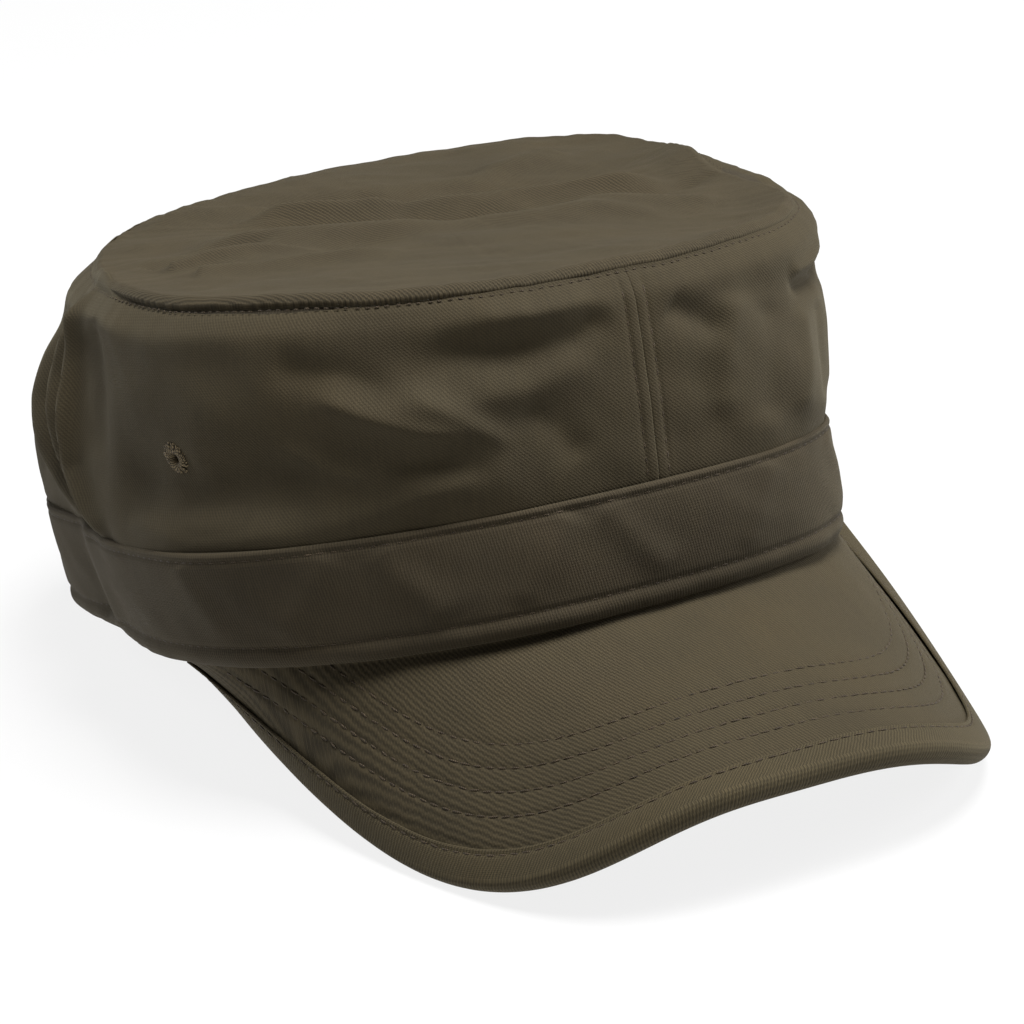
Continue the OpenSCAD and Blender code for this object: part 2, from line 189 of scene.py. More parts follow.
def noise2(x, y, seed):
    """Smooth value noise with a period of 64 cells."""
    g = lattice(seed)
    x, y = np.asarray(x, float), np.asarray(y, float)
    i, j = np.floor(x).astype(int), np.floor(y).astype(int)
    fx, fy = x - i, y - j
    fx, fy = fx ** 3 * (fx * (6 * fx - 15) + 10), fy ** 3 * (fy * (6 * fy - 15) + 10)
    a, b = g[i % 64, j % 64], g[(i + 1) % 64, j % 64]
    c, d = g[i % 64, (j + 1) % 64], g[(i + 1) % 64, (j + 1) % 64]
    return (a * (1 - fx) + b * fx) * (1 - fy) + (c * (1 - fx) + d * fx) * fy


def line_distance(x, y, pts):
    """Signed distance to a polyline, and how far along it (0..1), for arrays x, y."""
    pts = np.asarray(pts, float)
    seg = np.diff(pts, axis=0)
    length = np.linalg.norm(seg, axis=1)
    start = np.concatenate([[0], np.cumsum(length)])
    best = np.full(np.shape(x), 1e9)
    sign = np.ones(np.shape(x))
    along = np.zeros(np.shape(x))
    for k in range(len(seg)):
        dx, dy = x - pts[k, 0], y - pts[k, 1]
        t = np.clip((dx * seg[k, 0] + dy * seg[k, 1]) / length[k] ** 2, 0, 1)
        ex, ey = dx - t * seg[k, 0], dy - t * seg[k, 1]
        d = np.hypot(ex, ey)
        closer = d < best
        best = np.where(closer, d, best)
        sign = np.where(closer, np.sign(seg[k, 0] * ey - seg[k, 1] * ex), sign)
        along = np.where(closer, (start[k] + t * length[k]) / start[-1], along)
    return best * sign, along


def ridge(x, y, pts, height, width, sharp=1.0, taper=(0.15, 0.15)):
    """A fold along a polyline: a rounded ridge (or a valley, with height < 0) that fades at its ends."""
    d, a = line_distance(x, y, pts)
    fade = np.ones_like(a)
    if taper[0] > 0:
        fade = fade * smooth(a, 0, taper[0])
    if taper[1] > 0:
        fade = fade * smooth(1 - a, 0, taper[1])
    return height * fade * np.exp(-(np.abs(d) / width) ** (2 * sharp))


# ---------------------------------------------------------------- mesh helpers
def new_object(name, verts, faces, uv=None, smooth_shade=True):
    me = bpy.data.meshes.new(name)
    me.from_pydata([tuple(v) for v in verts], [], [tuple(int(i) for i in f) for f in faces])
    me.update()
    if uv is not None:
        layer = me.uv_layers.new(name="cloth")
        loops = np.zeros(len(me.loops), np.int64)
        me.loops.foreach_get("vertex_index", loops)
        layer.data.foreach_set("uv", np.asarray(uv, np.float32)[loops].ravel())
    if smooth_shade:
        me.polygons.foreach_set("use_smooth", np.ones(len(me.polygons), bool))
    me.update()
    ob = bpy.data.objects.new(name, me)
    bpy.context.scene.collection.objects.link(ob)
    return ob


def grid_faces(n, m, base=0, flip=False, ring=False):
    i = np.arange(n if ring else n - 1)[:, None]
    j = np.arange(m - 1)[None, :]
    i2 = (i + 1) % n
    a = base + i * m + j
    b = base + i2 * m + j
    c = base + i2 * m + j + 1
    d = base + i * m + j + 1
    f = np.stack([a, b, c, d], -1).reshape(-1, 4)
    return f[:, ::-1] if flip else f


def shell(name, outer, inner, uv, ring=False):
    """A closed sheet from two grids of points of one shape (n along, m up), in the cap frame in mm."""
    n, m = outer.shape[:2]
    verts = np.concatenate([to_row(outer).reshape(-1, 3), to_row(inner).reshape(-1, 3)])
    k = n * m
    faces = [grid_faces(n, m, 0, False, ring), grid_faces(n, m, k, True, ring)]
    i = np.arange(n if ring else n - 1)
    i2 = (i + 1) % n
    for j, flip in ((0, True), (m - 1, False)):
        q = np.stack([i * m + j, i2 * m + j, k + i2 * m + j, k + i * m + j], -1)
        faces.append(q[:, ::-1] if not flip else q)
    faces[2], faces[3] = faces[2][:, ::-1], faces[3][:, ::-1]
    if not ring:
        j = np.arange(m - 1)
        for r, flip in ((0, False), (n - 1, True)):
            q = np.stack([r * m + j, r * m + j + 1, k + r * m + j + 1, k + r * m + j], -1)
            faces.append(q[:, ::-1] if flip else q)
    uvs = np.concatenate([uv.reshape(-1, 2), uv.reshape(-1, 2)])
    ob = new_object(name, verts, np.concatenate(faces), uvs)
    return ob


def tube_sections(name, sections, uv, ring=False):
    """A closed sweep: sections is (n, m, 3), each a closed loop of m points."""
    n, m = sections.shape[:2]
    verts = to_row(sections).reshape(-1, 3)
    i = np.arange(n if ring else n - 1)[:, None]
    j = np.arange(m)[None, :]
    i2, j2 = (i + 1) % n, (j + 1) % m
    f = np.stack([i * m + j, i2 * m + j, i2 * m + j2, i * m + j2], -1).reshape(-1, 4).tolist()
    if not ring:
        f.append(list(range(m - 1, -1, -1)))
        f.append([(n - 1) * m + k for k in range(m)])
    return new_object(name, verts, f, uv.reshape(-1, 2))


def fix_normals(ob):
    import bmesh
    bm = bmesh.new()
    bm.from_mesh(ob.data)
    bmesh.ops.recalc_face_normals(bm, faces=bm.faces)
    bm.to_mesh(ob.data)
    bm.free()
    ob.data.polygons.foreach_set("use_smooth", np.ones(len(ob.data.polygons), bool))
    ob.data.update()


def finish_piece(ob, body, mat, slot, *nodes):
    fix_normals(ob)
    ob.data.materials.append(mat)
    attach(ob, body)
    if nodes:
        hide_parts(*nodes)
    return ob


# A stitch is a short bowed grain of thread, half sunk in the cloth
def stitch_template():
    rings, seg = 6, 6
    v = []
    for i in range(rings + 1):
        t = i / rings
        x = t - 0.5
        w = math.sin(math.pi * min(max(t, 0.06), 0.94)) ** 0.45
        for j in range(seg):
            a = 2 * math.pi * j / seg
            v.append((x, w * math.cos(a), w * math.sin(a), 1 - (2 * x) ** 2))
    f = []
    for i in range(rings):
        for j in range(seg):
            a, b = i * seg + j, i * seg + (j + 1) % seg
            f.append((a, b, b + seg, a + seg))
    f.append(tuple(range(seg - 1, -1, -1)))
    f.append(tuple(rings * seg + j for j in range(seg)))
    return np.array(v), f


STITCH_V, STITCH_F = stitch_template()


def stitches(name, lines, pitch, length, radius, seed, sink=0.25, bow=0.12):
    """lines: list of (points, normals) polylines in the cap frame, mm. One mesh with every stitch."""
    rng = np.random.default_rng(seed)
    verts, faces, uvs, base = [], [], [], 0
    for pts, nrm in lines:
        pts, nrm = np.asarray(pts, float), np.asarray(nrm, float)
        s = np.concatenate([[0], np.cumsum(np.linalg.norm(np.diff(pts, axis=0), axis=1))])
        count = max(int(s[-1] // pitch), 1)
        for k in range(count):
            c = (k + 0.5) * pitch + rng.normal(0, 0.12)
            c0, c1 = c - 0.4, c + 0.4
            at = lambda q, arr: np.array([np.interp(q, s, arr[:, i]) for i in range(3)])
            mid, t = at(c, pts), at(c1, pts) - at(c0, pts)
            t /= np.linalg.norm(t)
            n = at(c, nrm)
            n -= t * (n @ t)
            n /= np.linalg.norm(n)
            b = np.cross(n, t)
            skew = rng.normal(0, 0.075)
            t2 = t * math.cos(skew) + b * math.sin(skew)
            b2 = np.cross(n, t2)
            l, r = length * rng.uniform(0.84, 1.06), radius * rng.uniform(0.85, 1.12)
            v = (mid + STITCH_V[:, :1] * l * t2 + STITCH_V[:, 1:2] * r * b2
                 + (STITCH_V[:, 2:3] * r * 0.75 + STITCH_V[:, 3:4] * bow - sink) * n)
            verts.append(v)
            uvs.append(np.stack([c + STITCH_V[:, 0] * l, STITCH_V[:, 1] * 0.5 + k], -1))
            faces += [tuple(base + i for i in f) for f in STITCH_F]
            base += len(STITCH_V)
    return new_object(name, to_row(np.concatenate(verts)), faces, np.concatenate(uvs))


# ---------------------------------------------------------------- materials
def lin(c):
    """sRGB 0..255 to linear."""
    return tuple(v / 255 / 12.92 if v / 255 <= 0.04045 else ((v / 255 + 0.055) / 1.055) ** 2.4
                 for v in c) + (1.0,)


class Nodes:
    """A short way to write node trees."""

    def __init__(self, name):
        self.mat = bpy.data.materials.new(name)
        self.mat.use_nodes = True
        self.t = self.mat.node_tree
        self.t.nodes.clear()
        self.out = self.t.nodes.new("ShaderNodeOutputMaterial")
        self.bsdf = self.t.nodes.new("ShaderNodeBsdfPrincipled")
        self.t.links.new(self.bsdf.outputs[0], self.out.inputs[0])

    def set(self, sock, v):
        if isinstance(v, bpy.types.NodeSocket):
            self.t.links.new(v, sock)
        elif v is not None:
            sock.default_value = v

    def math(self, op, a, b=None, c=None, clamp=False):
        n = self.t.nodes.new("ShaderNodeMath")
        n.operation = op
        n.use_clamp = clamp
        for s, v in zip(n.inputs, (a, b, c)):
            self.set(s, v)
        return n.outputs[0]

    def uv(self):
        n = self.t.nodes.new("ShaderNodeUVMap")
        n.uv_map = "cloth"
        return n.outputs[0]

    def obj(self):
        return self.t.nodes.new("ShaderNodeTexCoord").outputs["Object"]

    def split(self, v):
        n = self.t.nodes.new("ShaderNodeSeparateXYZ")
        self.set(n.inputs[0], v)
        return n.outputs

    def noise(self, vec, scale, detail=3, rough=0.55, distort=0.0):
        n = self.t.nodes.new("ShaderNodeTexNoise")
        self.set(n.inputs["Vector"], vec)
        n.inputs["Scale"].default_value = scale
        n.inputs["Detail"].default_value = detail
        n.inputs["Roughness"].default_value = rough
        n.inputs["Distortion"].default_value = distort
        return n.outputs["Fac"]

    def map(self, vec, scale=(1, 1, 1), rot=0.0):
        n = self.t.nodes.new("ShaderNodeMapping")
        self.set(n.inputs["Vector"], vec)
        n.inputs["Scale"].default_value = scale
        n.inputs["Rotation"].default_value = (0, 0, rot)
        return n.outputs[0]

    def ramp(self, fac, stops):
        n = self.t.nodes.new("ShaderNodeValToRGB")
        self.set(n.inputs[0], fac)
        e = n.color_ramp.elements
        e[0].position, e[0].color = stops[0]
        e[1].position, e[1].color = stops[-1]
        for p, c in stops[1:-1]:
            k = e.new(p)
            k.color = c
        return n.outputs[0]

    def mix(self, fac, a, b, mode="MIX"):
        n = self.t.nodes.new("ShaderNodeMix")
        n.data_type = "RGBA"
        n.blend_type = mode
        self.set(n.inputs[0], fac)
        self.set(n.inputs[6], a)
        self.set(n.inputs[7], b)
        return n.outputs[2]

    def bump(self, height, strength, distance, normal=None):
        n = self.t.nodes.new("ShaderNodeBump")
        n.inputs["Strength"].default_value = strength
        n.inputs["Distance"].default_value = distance
        self.set(n.inputs["Height"], height)
        if normal is not None:
            self.t.links.new(normal, n.inputs["Normal"])
        return n.outputs[0]


def twill(name, base, dark=0.60, light=1.4, angle=63, pitch=0.62, edge_highlight=0.12, rough=0.88, sheen=0.07,
          bump=0.38):
    """Cotton twill: diagonal wales of warp floats crossed by fine weft, in mm of cloth."""
    m = Nodes(name)
    uv = m.uv()
    wob = m.noise(m.map(uv, (0.35, 0.35, 1)), 1.0, 2)
    x, y, _ = m.split(m.map(uv, (1, 1, 1), rad(90 - angle)))
    phase = m.math("MULTIPLY_ADD", m.math("SUBTRACT", wob, 0.5), 0.55, x)
    wale = m.math("SINE", m.math("MULTIPLY", phase, 2 * math.pi / pitch))
    wale = m.math("MULTIPLY_ADD", wale, 0.5, 0.5)
    u, v, _ = m.split(uv)
    pick = m.math("MULTIPLY_ADD", m.math("SINE", m.math("MULTIPLY", u, 2 * math.pi / (pitch * 0.62))), 0.5, 0.5)
    weft = m.math("MULTIPLY_ADD", m.math("SINE", m.math("MULTIPLY", v, 2 * math.pi / (pitch * 0.9))), 0.5, 0.5)
    yarn = m.math("MULTIPLY", pick, weft)
    fibre = m.noise(uv, 2.2, 5, 0.75)
    height = m.math("MULTIPLY_ADD", fibre, 0.9, m.math("MULTIPLY_ADD", wale, 0.5, -0.1))
    height = m.math("MULTIPLY_ADD", yarn, 0.35, height)
    cloud = m.noise(m.map(uv, (0.03, 0.03, 1)), 1.0, 4, 0.6)
    slub = m.noise(m.map(uv, (1.6, 0.08, 1)), 1.0, 2)
    b = lin(base)
    shade = lambda k: tuple(min(c * k, 1) for c in b[:3]) + (1,)
    col = m.ramp(height, [(0.15, shade(dark)), (0.62, shade(1.0)), (1.0, shade(light))])
    tint = m.ramp(cloud, [(0.3, (0.90, 0.905, 0.92, 1)), (0.5, (1, 1, 1, 1)), (0.72, (1.07, 1.045, 1.0, 1))])
    col = m.mix(1.0, col, tint, "MULTIPLY")
    streak = m.ramp(slub, [(0.3, (0.93, 0.93, 0.93, 1)), (0.7, (1.06, 1.06, 1.05, 1))])
    col = m.mix(1.0, col, streak, "MULTIPLY")
    # painted highlight: the cloth is made paler where it bends outward, as if those edges catch the light
    geo = m.t.nodes.new("ShaderNodeNewGeometry")
    edge = m.ramp(geo.outputs["Pointiness"], [(0.51, (0, 0, 0, 1)), (0.60, (1, 1, 1, 1))])
    col = m.mix(m.math("MULTIPLY", edge, edge_highlight), col, shade(1.9))
    m.set(m.bsdf.inputs["Base Color"], col)
    m.set(m.bsdf.inputs["Roughness"], m.math("MULTIPLY_ADD", height, -0.10, rough + 0.05))
    m.bsdf.inputs["Sheen Weight"].default_value = sheen
    m.bsdf.inputs["Sheen Roughness"].default_value = 0.45
    m.bsdf.inputs["Sheen Tint"].default_value = (0.80, 0.71, 0.46, 1)
    m.bsdf.inputs["Specular IOR Level"].default_value = 0.22
    m.set(m.bsdf.inputs["Normal"], m.bump(height, bump, 0.00035))
    return m.mat


def thread_mat(name, base, rough=0.6):
    m = Nodes(name)
    uv = m.uv()
    u, v, _ = m.split(uv)
    twist = m.math("SINE", m.math("MULTIPLY_ADD", u, 14.0, m.math("MULTIPLY", v, 6.3)))
    h = m.math("MULTIPLY_ADD", twist, 0.5, 0.5)
    n = m.noise(m.map(uv, (0.6, 1.7, 1)), 1.0, 1)
    b = lin(base)
    sh = lambda k: tuple(min(c * k, 1) for c in b[:3]) + (1,)
    # the top stop at 4.5 times the base paints bright glints of light on the thread: painted highlight
    col = m.ramp(m.math("MULTIPLY_ADD", n, 0.6, m.math("MULTIPLY", h, 0.4)),
                 [(0.2, sh(0.6)), (0.45, sh(1.0)), (0.55, sh(1.5)), (0.62, sh(4.5))])
    m.set(m.bsdf.inputs["Base Color"], col)
    m.bsdf.inputs["Roughness"].default_value = rough
    m.bsdf.inputs["Sheen Weight"].default_value = 0.05
    m.bsdf.inputs["Specular IOR Level"].default_value = 0.2
    m.set(m.bsdf.inputs["Normal"], m.bump(h, 0.5, 0.0001))
    return m.mat


OLIVE = (54, 47, 32)
M_SIDE = twill("twill_crown", OLIVE, angle=-47, pitch=0.62, dark=0.68, light=1.32, bump=0.3)
M_TOP = twill("twill_top", (53, 46, 32), angle=-66, pitch=0.66, dark=0.42, light=1.6, bump=0.55)
M_BAND = twill("twill_band", (50, 43, 30), angle=-78, pitch=0.66)
M_PEAK = twill("twill_peak", (54, 47, 32), angle=-69, pitch=0.74, dark=0.5, light=1.5, bump=0.45)
M_BIND = twill("twill_binding", (57, 50, 34), angle=62, pitch=0.7, dark=0.42, light=1.6, bump=0.5)
M_TAB = twill("twill_tab", OLIVE, angle=63, pitch=0.62)
M_SWEAT = twill("twill_sweatband", (58, 51, 38), angle=63, pitch=0.5, bump=0.3)
M_TAPE = twill("twill_tape", (48, 42, 31), angle=88, pitch=0.8, bump=0.3)
M_THREAD = thread_mat("thread_olive", (37, 30, 20))
M_EYELET = thread_mat("thread_eyelet", (60, 52, 37), 0.75)


def fibre_mat(name, base, scale, stretch, contrast, rough, bump, distance, sheen=0.1):
    """Matted or woven stuff whose colour and relief come from stretched noise, in mm of cloth."""
    m = Nodes(name)
    uv = m.uv()
    a = m.noise(m.map(uv, (scale, scale * stretch, 1)), 1.0, 5, 0.65)
    c = m.noise(m.map(uv, (scale * 0.1, scale * 0.1, 1)), 1.0, 3, 0.5)
    b = lin(base)
    sh = lambda k: tuple(min(v * k, 1) for v in b[:3]) + (1,)
    col = m.ramp(a, [(0.25, sh(1 - contrast)), (0.5, sh(1.0)), (0.8, sh(1 + contrast))])
    col = m.mix(1.0, col, m.ramp(c, [(0.3, (0.92, 0.92, 0.92, 1)), (0.7, (1.06, 1.06, 1.06, 1))]), "MULTIPLY")
    m.set(m.bsdf.inputs["Base Color"], col)
    m.set(m.bsdf.inputs["Roughness"], m.math("MULTIPLY_ADD", a, -0.12, rough + 0.06))
    m.bsdf.inputs["Sheen Weight"].default_value = sheen
    m.bsdf.inputs["Specular IOR Level"].default_value = 0.3
    m.set(m.bsdf.inputs["Normal"], m.bump(a, bump, distance))
    return m.mat


M_BOARD = fibre_mat("board_white", (150, 149, 143), 0.8, 1.0, 0.06, 0.55, 0.2, 0.0002)
M_HOOK = fibre_mat("fastener_hook", (50, 46, 36), 2.2, 1.0, 0.5, 0.45, 0.8, 0.0005)
M_LOOP = fibre_mat("fastener_loop", (54, 49, 38), 1.4, 0.5, 0.4, 0.9, 0.8, 0.0006, 0.4)
M_LABEL = fibre_mat("label_woven", (168, 165, 155), 0.6, 9.0, 0.10, 0.6, 0.4, 0.00012)

# ---------------------------------------------------------------- folds in the crown
# Every fold is a line on the cloth: angle from the front in degrees and height over the rim in mm.
DEG = 1.55  # mm of cloth to a degree, nearly
SEAM_ROW = 2.3  # each row of stitches beside the front and rear seam


def fold(phi, z, pts, height, width, sharp=1.0, taper=(0.15, 0.15)):
    q = [(a * DEG, b) for a, b in pts]
    return ridge(phi * DEG, z, q, height, width, sharp, taper)


# line, height, width, sharpness and how much of each end fades
CREASES = (
    # the right rear corner: a sharp standing crease with loose pleats behind it
    ([(-93.5, 84), (-94, 67), (-93, 54), (-92, 42), (-87, 33), (-81, 25)], 5.0, 3.4, 0.75, (0.0, 0.1)),
    ([(-97.5, 80), (-98.5, 64), (-97.5, 50), (-96, 38), (-91, 26)], -4.6, 3.4, 0.9, (0.05, 0.1)),
    ([(-102, 78), (-104, 62), (-102.5, 48), (-100, 36), (-95, 26)], 3.6, 3.2, 0.8, (0.15, 0.1)),
    ([(-108, 74), (-109, 56), (-106, 42), (-99, 28)], -3.4, 4.0, 1.0, (0.2, 0.1)),
    ([(-114, 76), (-114, 56), (-111, 42), (-103, 27)], 2.6, 4.2, 0.9, (0.2, 0.1)),
    ([(-122, 72), (-123, 52), (-118, 34)], -2.0, 5.0, 1.0, (0.2, 0.2)),
    ([(-86, 76), (-82, 60), (-82, 44)], -1.6, 6.0, 1.0, (0.1, 0.3)),
    # the right side sags under the top seam, with slanting drapes in front of the hollow
    ([(-78, 46), (-58, 40), (-40, 43), (-30, 47)], -4.8, 10.5, 1.0, (0.25, 0.3)),
    ([(-74, 33), (-58, 29.5), (-42, 30), (-26, 35), (-14, 41)], 1.3, 3.2, 0.85, (0.2, 0.3)),
    ([(-41, 60), (-35, 54), (-28, 48), (-20, 45)], 2.6, 3.2, 0.75, (0.2, 0.3)),
    ([(-30, 58), (-24, 50), (-17, 40)], 1.5, 2.6, 0.8, (0.2, 0.3)),
    ([(-47, 50), (-39, 42), (-32, 38)], 1.4, 3.0, 0.8, (0.3, 0.3)),
    ([(-36, 56), (-25, 52), (-14, 53), (-5, 57)], 1.8, 4.6, 0.9, (0.25, 0.3)),
    ([(-46, 66), (-37, 62), (-29, 55)], -1.6, 3.6, 0.9, (0.2, 0.3)),
    ([(-34, 43), (-26, 40), (-19, 36)], -1.5, 3.6, 0.9, (0.25, 0.25)),
    ([(-28, 64), (-18, 61), (-9, 62), (-3, 66)], -2.4, 4.2, 0.9, (0.2, 0.15)),
    ([(-22, 71), (-13, 69), (-5, 70)], 1.0, 2.6, 0.9, (0.2, 0.2)),
    ([(-17, 50), (-12, 43), (-9, 34)], -1.2, 3.4, 0.9, (0.2, 0.25)),
    # front left: a cross fold under the top and upright ripples
    ([(4, 64), (8, 60), (12, 54)], -1.5, 3.2, 0.9, (0.1, 0.3)),
    ([(25, 63), (32, 63.5), (40, 67)], 1.7, 2.0, 0.8, (0.15, 0.3)),
    ([(24, 60.5), (32, 60), (42, 63)], -1.7, 2.4, 0.9, (0.2, 0.3)),
    ([(14, 64), (11, 50), (9, 36)], 1.2, 3.6, 0.9, (0.15, 0.2)),
    ([(20, 60), (18, 46), (16, 32)], -0.9, 4.0, 0.9, (0.15, 0.2)),
    ([(27, 56), (25, 44), (22, 31)], 1.0, 3.6, 0.85, (0.15, 0.2)),
    ([(33, 56), (32, 44), (31, 31)], -0.9, 4.0, 0.9, (0.15, 0.2)),
    ([(40, 60), (39, 44), (38, 31)], 0.9, 4.0, 0.85, (0.15, 0.2)),
)


def crown_relief(phi, z):
    """How far the crown's wall stands proud of its drawn surface, in mm."""
    phi = np.asarray(phi, float)
    z = np.asarray(z, float)
    h = crown_height(phi)
    t = z / h
    x = phi * DEG
    r = np.zeros(np.broadcast(phi, z).shape)
    # a soft shoulder rolls over just under the top seam
    r = r + 2.2 * np.exp(-(((1 - t) * h - 6.5) / 5.0) ** 2) * (0.75 + 0.25 * noise2(x / 55 + 3, t * 1.5, 5))
    # broad slack
    r = r + 1.6 * noise2(x / 46 + 7, z / 38 + 2, 11) + 1.1 * noise2((x + z) / 24 + 1, (z - x) / 40 + 5, 12)
    r = r + 0.42 * noise2((x + 0.7 * z) / 9 + 1, (z - x) / 17 + 5, 13)
    for pts, height, width, sharp, taper in CREASES:
        r = r + fold(phi, z, pts, height, width, sharp, taper)
    # the far side and the back, in the same manner
    for k, (a, top, low, hgt, w) in enumerate((
            (50, 70, 34, 1.6, 5), (60, 74, 36, -2.0, 7), (71, 72, 30, 2.2, 6), (84, 80, 34, -2.0, 7),
            (96, 82, 28, 3.4, 4), (103, 80, 30, -2.8, 4.5), (112, 78, 30, 2.4, 5),
            (124, 76, 36, -1.8, 6), (136, 82, 44, 1.7, 6),
            (148, 84, 50, -1.5, 6), (160, 86, 56, 1.3, 5), (-138, 80, 40, 1.6, 6), (-150, 84, 48, -1.6, 6),
            (-163, 86, 56, 1.3, 5))):
        lean = (-1) ** k * 3
        line = [(a - lean, top), (a + 0.5 * lean, (top + low) / 2), (a + lean, low)]
        r = r + fold(phi, z, line, hgt, w, 0.9, (0.25, 0.2))
    r = r * smooth(180 - np.abs(phi), 0.0, 9.0)  # the two panels meet at the rear seam
    # puckers just under the top seam and over the band
    pucker = noise2(x / 3.4, 0.4 + 0 * x, 21) + 0.6 * noise2(x / 7.5, 0.2 + 0 * x, 22)
    r = r + 0.22 * pucker * np.exp(-((1 - t) * h / 5.0))
    r = r + 0.4 * noise2(x / 6.0, 0.6 + 0 * x, 23) * np.exp(-np.clip(z - BAND_H, 0, 99) / 6.0)
    # the two rows beside the front seam sit in grooves, and so does the seam
    for away in (phi * DEG, (np.abs(phi) - 180) * DEG):
        rows = np.exp(-((np.abs(away) - SEAM_ROW) / 0.6) ** 2)
        felled = smooth(-np.abs(away), -SEAM_ROW, -SEAM_ROW + 0.6)
        r = r * (1 - 0.4 * np.exp(-(away / 8) ** 2)) - 0.16 * np.exp(-(away / 0.45) ** 2)
        r = r - 0.22 * rows + 0.18 * felled
    # held at the top seam and under the band
    groove = -0.35 * np.exp(-(((1 - t) * h - 1.7) / 0.9) ** 2)
    hold_top = smooth((1 - t) * h, 0.0, 7.0) * 0.9 + 0.1
    hold_band = smooth(z, BAND_H - 6.0, BAND_H + 9.0)
    hold_arch = smooth(z - over_arch(phi, 0.0), 0.5, 9.0)
    r = r * hold_top * hold_band * hold_arch + groove
    # it can't sink into the sweatband and its stiffener
    deepest = -0.9 - 7.0 * smooth(z, SWEAT_H - 2.0, SWEAT_H + 9.0)
    return 0.5 * (r + deepest + np.sqrt((r - deepest) ** 2 + 0.15))


def cloth_uv(phi, z):
    return np.stack([arc_mm(phi) + 0 * z, z + 0 * phi], -1)


# ---------------------------------------------------------------- crown sides
def side_panel(name, hand, node):
    phi = np.concatenate([[0.015], np.arange(0.22, 3.6, 0.22),
                          np.arange(3.6, 154, 0.62), np.arange(154, 158.5, 0.12),
                          np.arange(158.5, 176.5, 0.5), np.arange(176.5, 179.9, 0.2), [179.985]])
    t = np.concatenate([np.linspace(0, 0.94, 70), np.linspace(0.945, 1, 12)])
    low = over_arch(phi, 12.0)
    high = crown_height(phi) - 0.12
    P, T = np.meshgrid(phi * hand, t, indexing="ij")
    Z = low[:, None] + (high - low)[:, None] * T
    relief = crown_relief(P, Z)
    left = high[:, None] - Z
    roll = -0.9 * np.exp(-left / 0.7)
    outer = wall(P, Z, relief + roll)
    inner = wall(P, Z, relief + roll * 0.4 - PLY)
    ob = shell(name, outer, inner, cloth_uv(P, Z * 1.0))
    return finish_piece(ob, "cap", M_SIDE, "twill", node)


side_left = side_panel("Crown_side_left", 1, "crown_side_left")
side_right = side_panel("Crown_side_right", -1, "crown_side_right")


# ---------------------------------------------------------------- crown top
def top_edge(phi):
    return wall(phi, crown_height(phi), 0.0)


TOP_FOLDS = (
    # long soft ridges from the right rear corner towards the front left
    ([(-62, 12), (-34, -6), (-4, -26), (24, -46), (44, -62)], 2.4, 6.5, 0.9, (0.2, 0.2)),
    ([(-36, 34), (-16, 16), (10, -2), (40, -18), (60, -28)], 3.6, 4.4, 0.75, (0.15, 0.15)),
    ([(-44, 20), (-20, 2), (8, -18), (36, -36)], -2.8, 6.0, 0.9, (0.2, 0.2)),
    ([(-30, 52), (-4, 34), (26, 14), (54, 0)], -2.6, 8.0, 1.0, (0.2, 0.2)),
    ([(-56, 52), (-30, 44), (-8, 36)], 2.4, 5.0, 0.8, (0.15, 0.3)),
    ([(-10, 8), (-2, 12), (3, 20)], 0.7, 2.2, 0.9, (0.3, 0.3)),
    ([(-6, 2), (2, 6), (7, 14)], -0.6, 2.2, 0.9, (0.3, 0.3)),
    ([(-72, -6), (-52, -2), (-34, -8)], -1.6, 2.6, 0.9, (0.05, 0.4)),
    ([(-70, -14), (-48, -16), (-30, -24)], 1.6, 2.2, 0.9, (0.05, 0.4)),
    ([(-68, -26), (-44, -34), (-22, -46)], 1.8, 3.4, 0.8, (0.05, 0.3)),
    ([(50, -58), (30, -40), (14, -30)], 1.8, 4.0, 0.9, (0.05, 0.4)),
    ([(66, -30), (44, -30), (26, -24)], -1.8, 4.5, 0.9, (0.05, 0.4)),
    ([(60, 40), (34, 34), (12, 40)], 1.8, 6.0, 0.9, (0.1, 0.4)),
)


def top_relief(x, y):
    """Slack and folds of the flat top. x to the wearer's left, y to the back, in mm."""
    r = -3.6 * np.exp(-((x - 6) / 52) ** 2 - ((y - 8) / 48) ** 2)
    r = r + 1.6 * noise2(x / 40 + 3, y / 34 + 1, 31) + 0.9 * noise2((x + y) / 17 + 9, (y - x) / 34 + 2, 32)
    r = r + 0.22 * noise2((x + y) / 6 + 9, (y - x) / 11 + 2, 33)
    for pts, height, width, sharp, taper in TOP_FOLDS:
        r = r + ridge(x, y, pts, 1.25 * height, 1.2 * width, sharp, taper)
    return r


def crown_top_piece():
    phi = np.arange(-180, 180, 0.75)
    u = np.concatenate([np.linspace(0.012, 0.93, 74), 1 - 0.07 * np.linspace(0.96, 0, 16) ** 1.4])
    edge = top_edge(phi)
    U = u[None, :]
    X = edge[:, 0:1] * U
    Y = (edge[:, 1:2] + FORWARD) * U - FORWARD
    zmid = (FRONT_H + BACK_H) / 2
    Z0 = zmid + (edge[:, 2:3] - zmid) * U
    span = np.hypot(edge[:, 0:1], edge[:, 1:2] + FORWARD)
    left = (1 - U) * span
    hold = smooth(left, 0.5, 13)
    a = arc_mm(phi)[:, None]
    waves = noise2(a / 3.6, 0 * left + 0.3, 41) + 0.7 * noise2(a / 8.0, 0 * left + 0.1, 42)
    pucker = 0.16 * waves * np.exp(-left / 6.0) * smooth(left, 0, 1.5)
    roll = -1.5 * np.exp(-left / 0.8)
    Z = Z0 + 1.15 + top_relief(X, Y) * hold + pucker + roll + 0.25 * np.exp(-((left - 2.0) / 1.1) ** 2)
    outer = np.stack([X, Y, Z], -1)
    inner = np.stack([X * 0.996, Y * 0.996 - FORWARD * 0.004, Z - PLY + 0.2 * roll], -1)
    uv = np.stack([X, Y], -1)
    ob = shell("Crown_top", outer, inner, uv, ring=True)
    return finish_piece(ob, "cap", M_TOP, "twill", "crown_top")


crown_top_piece()


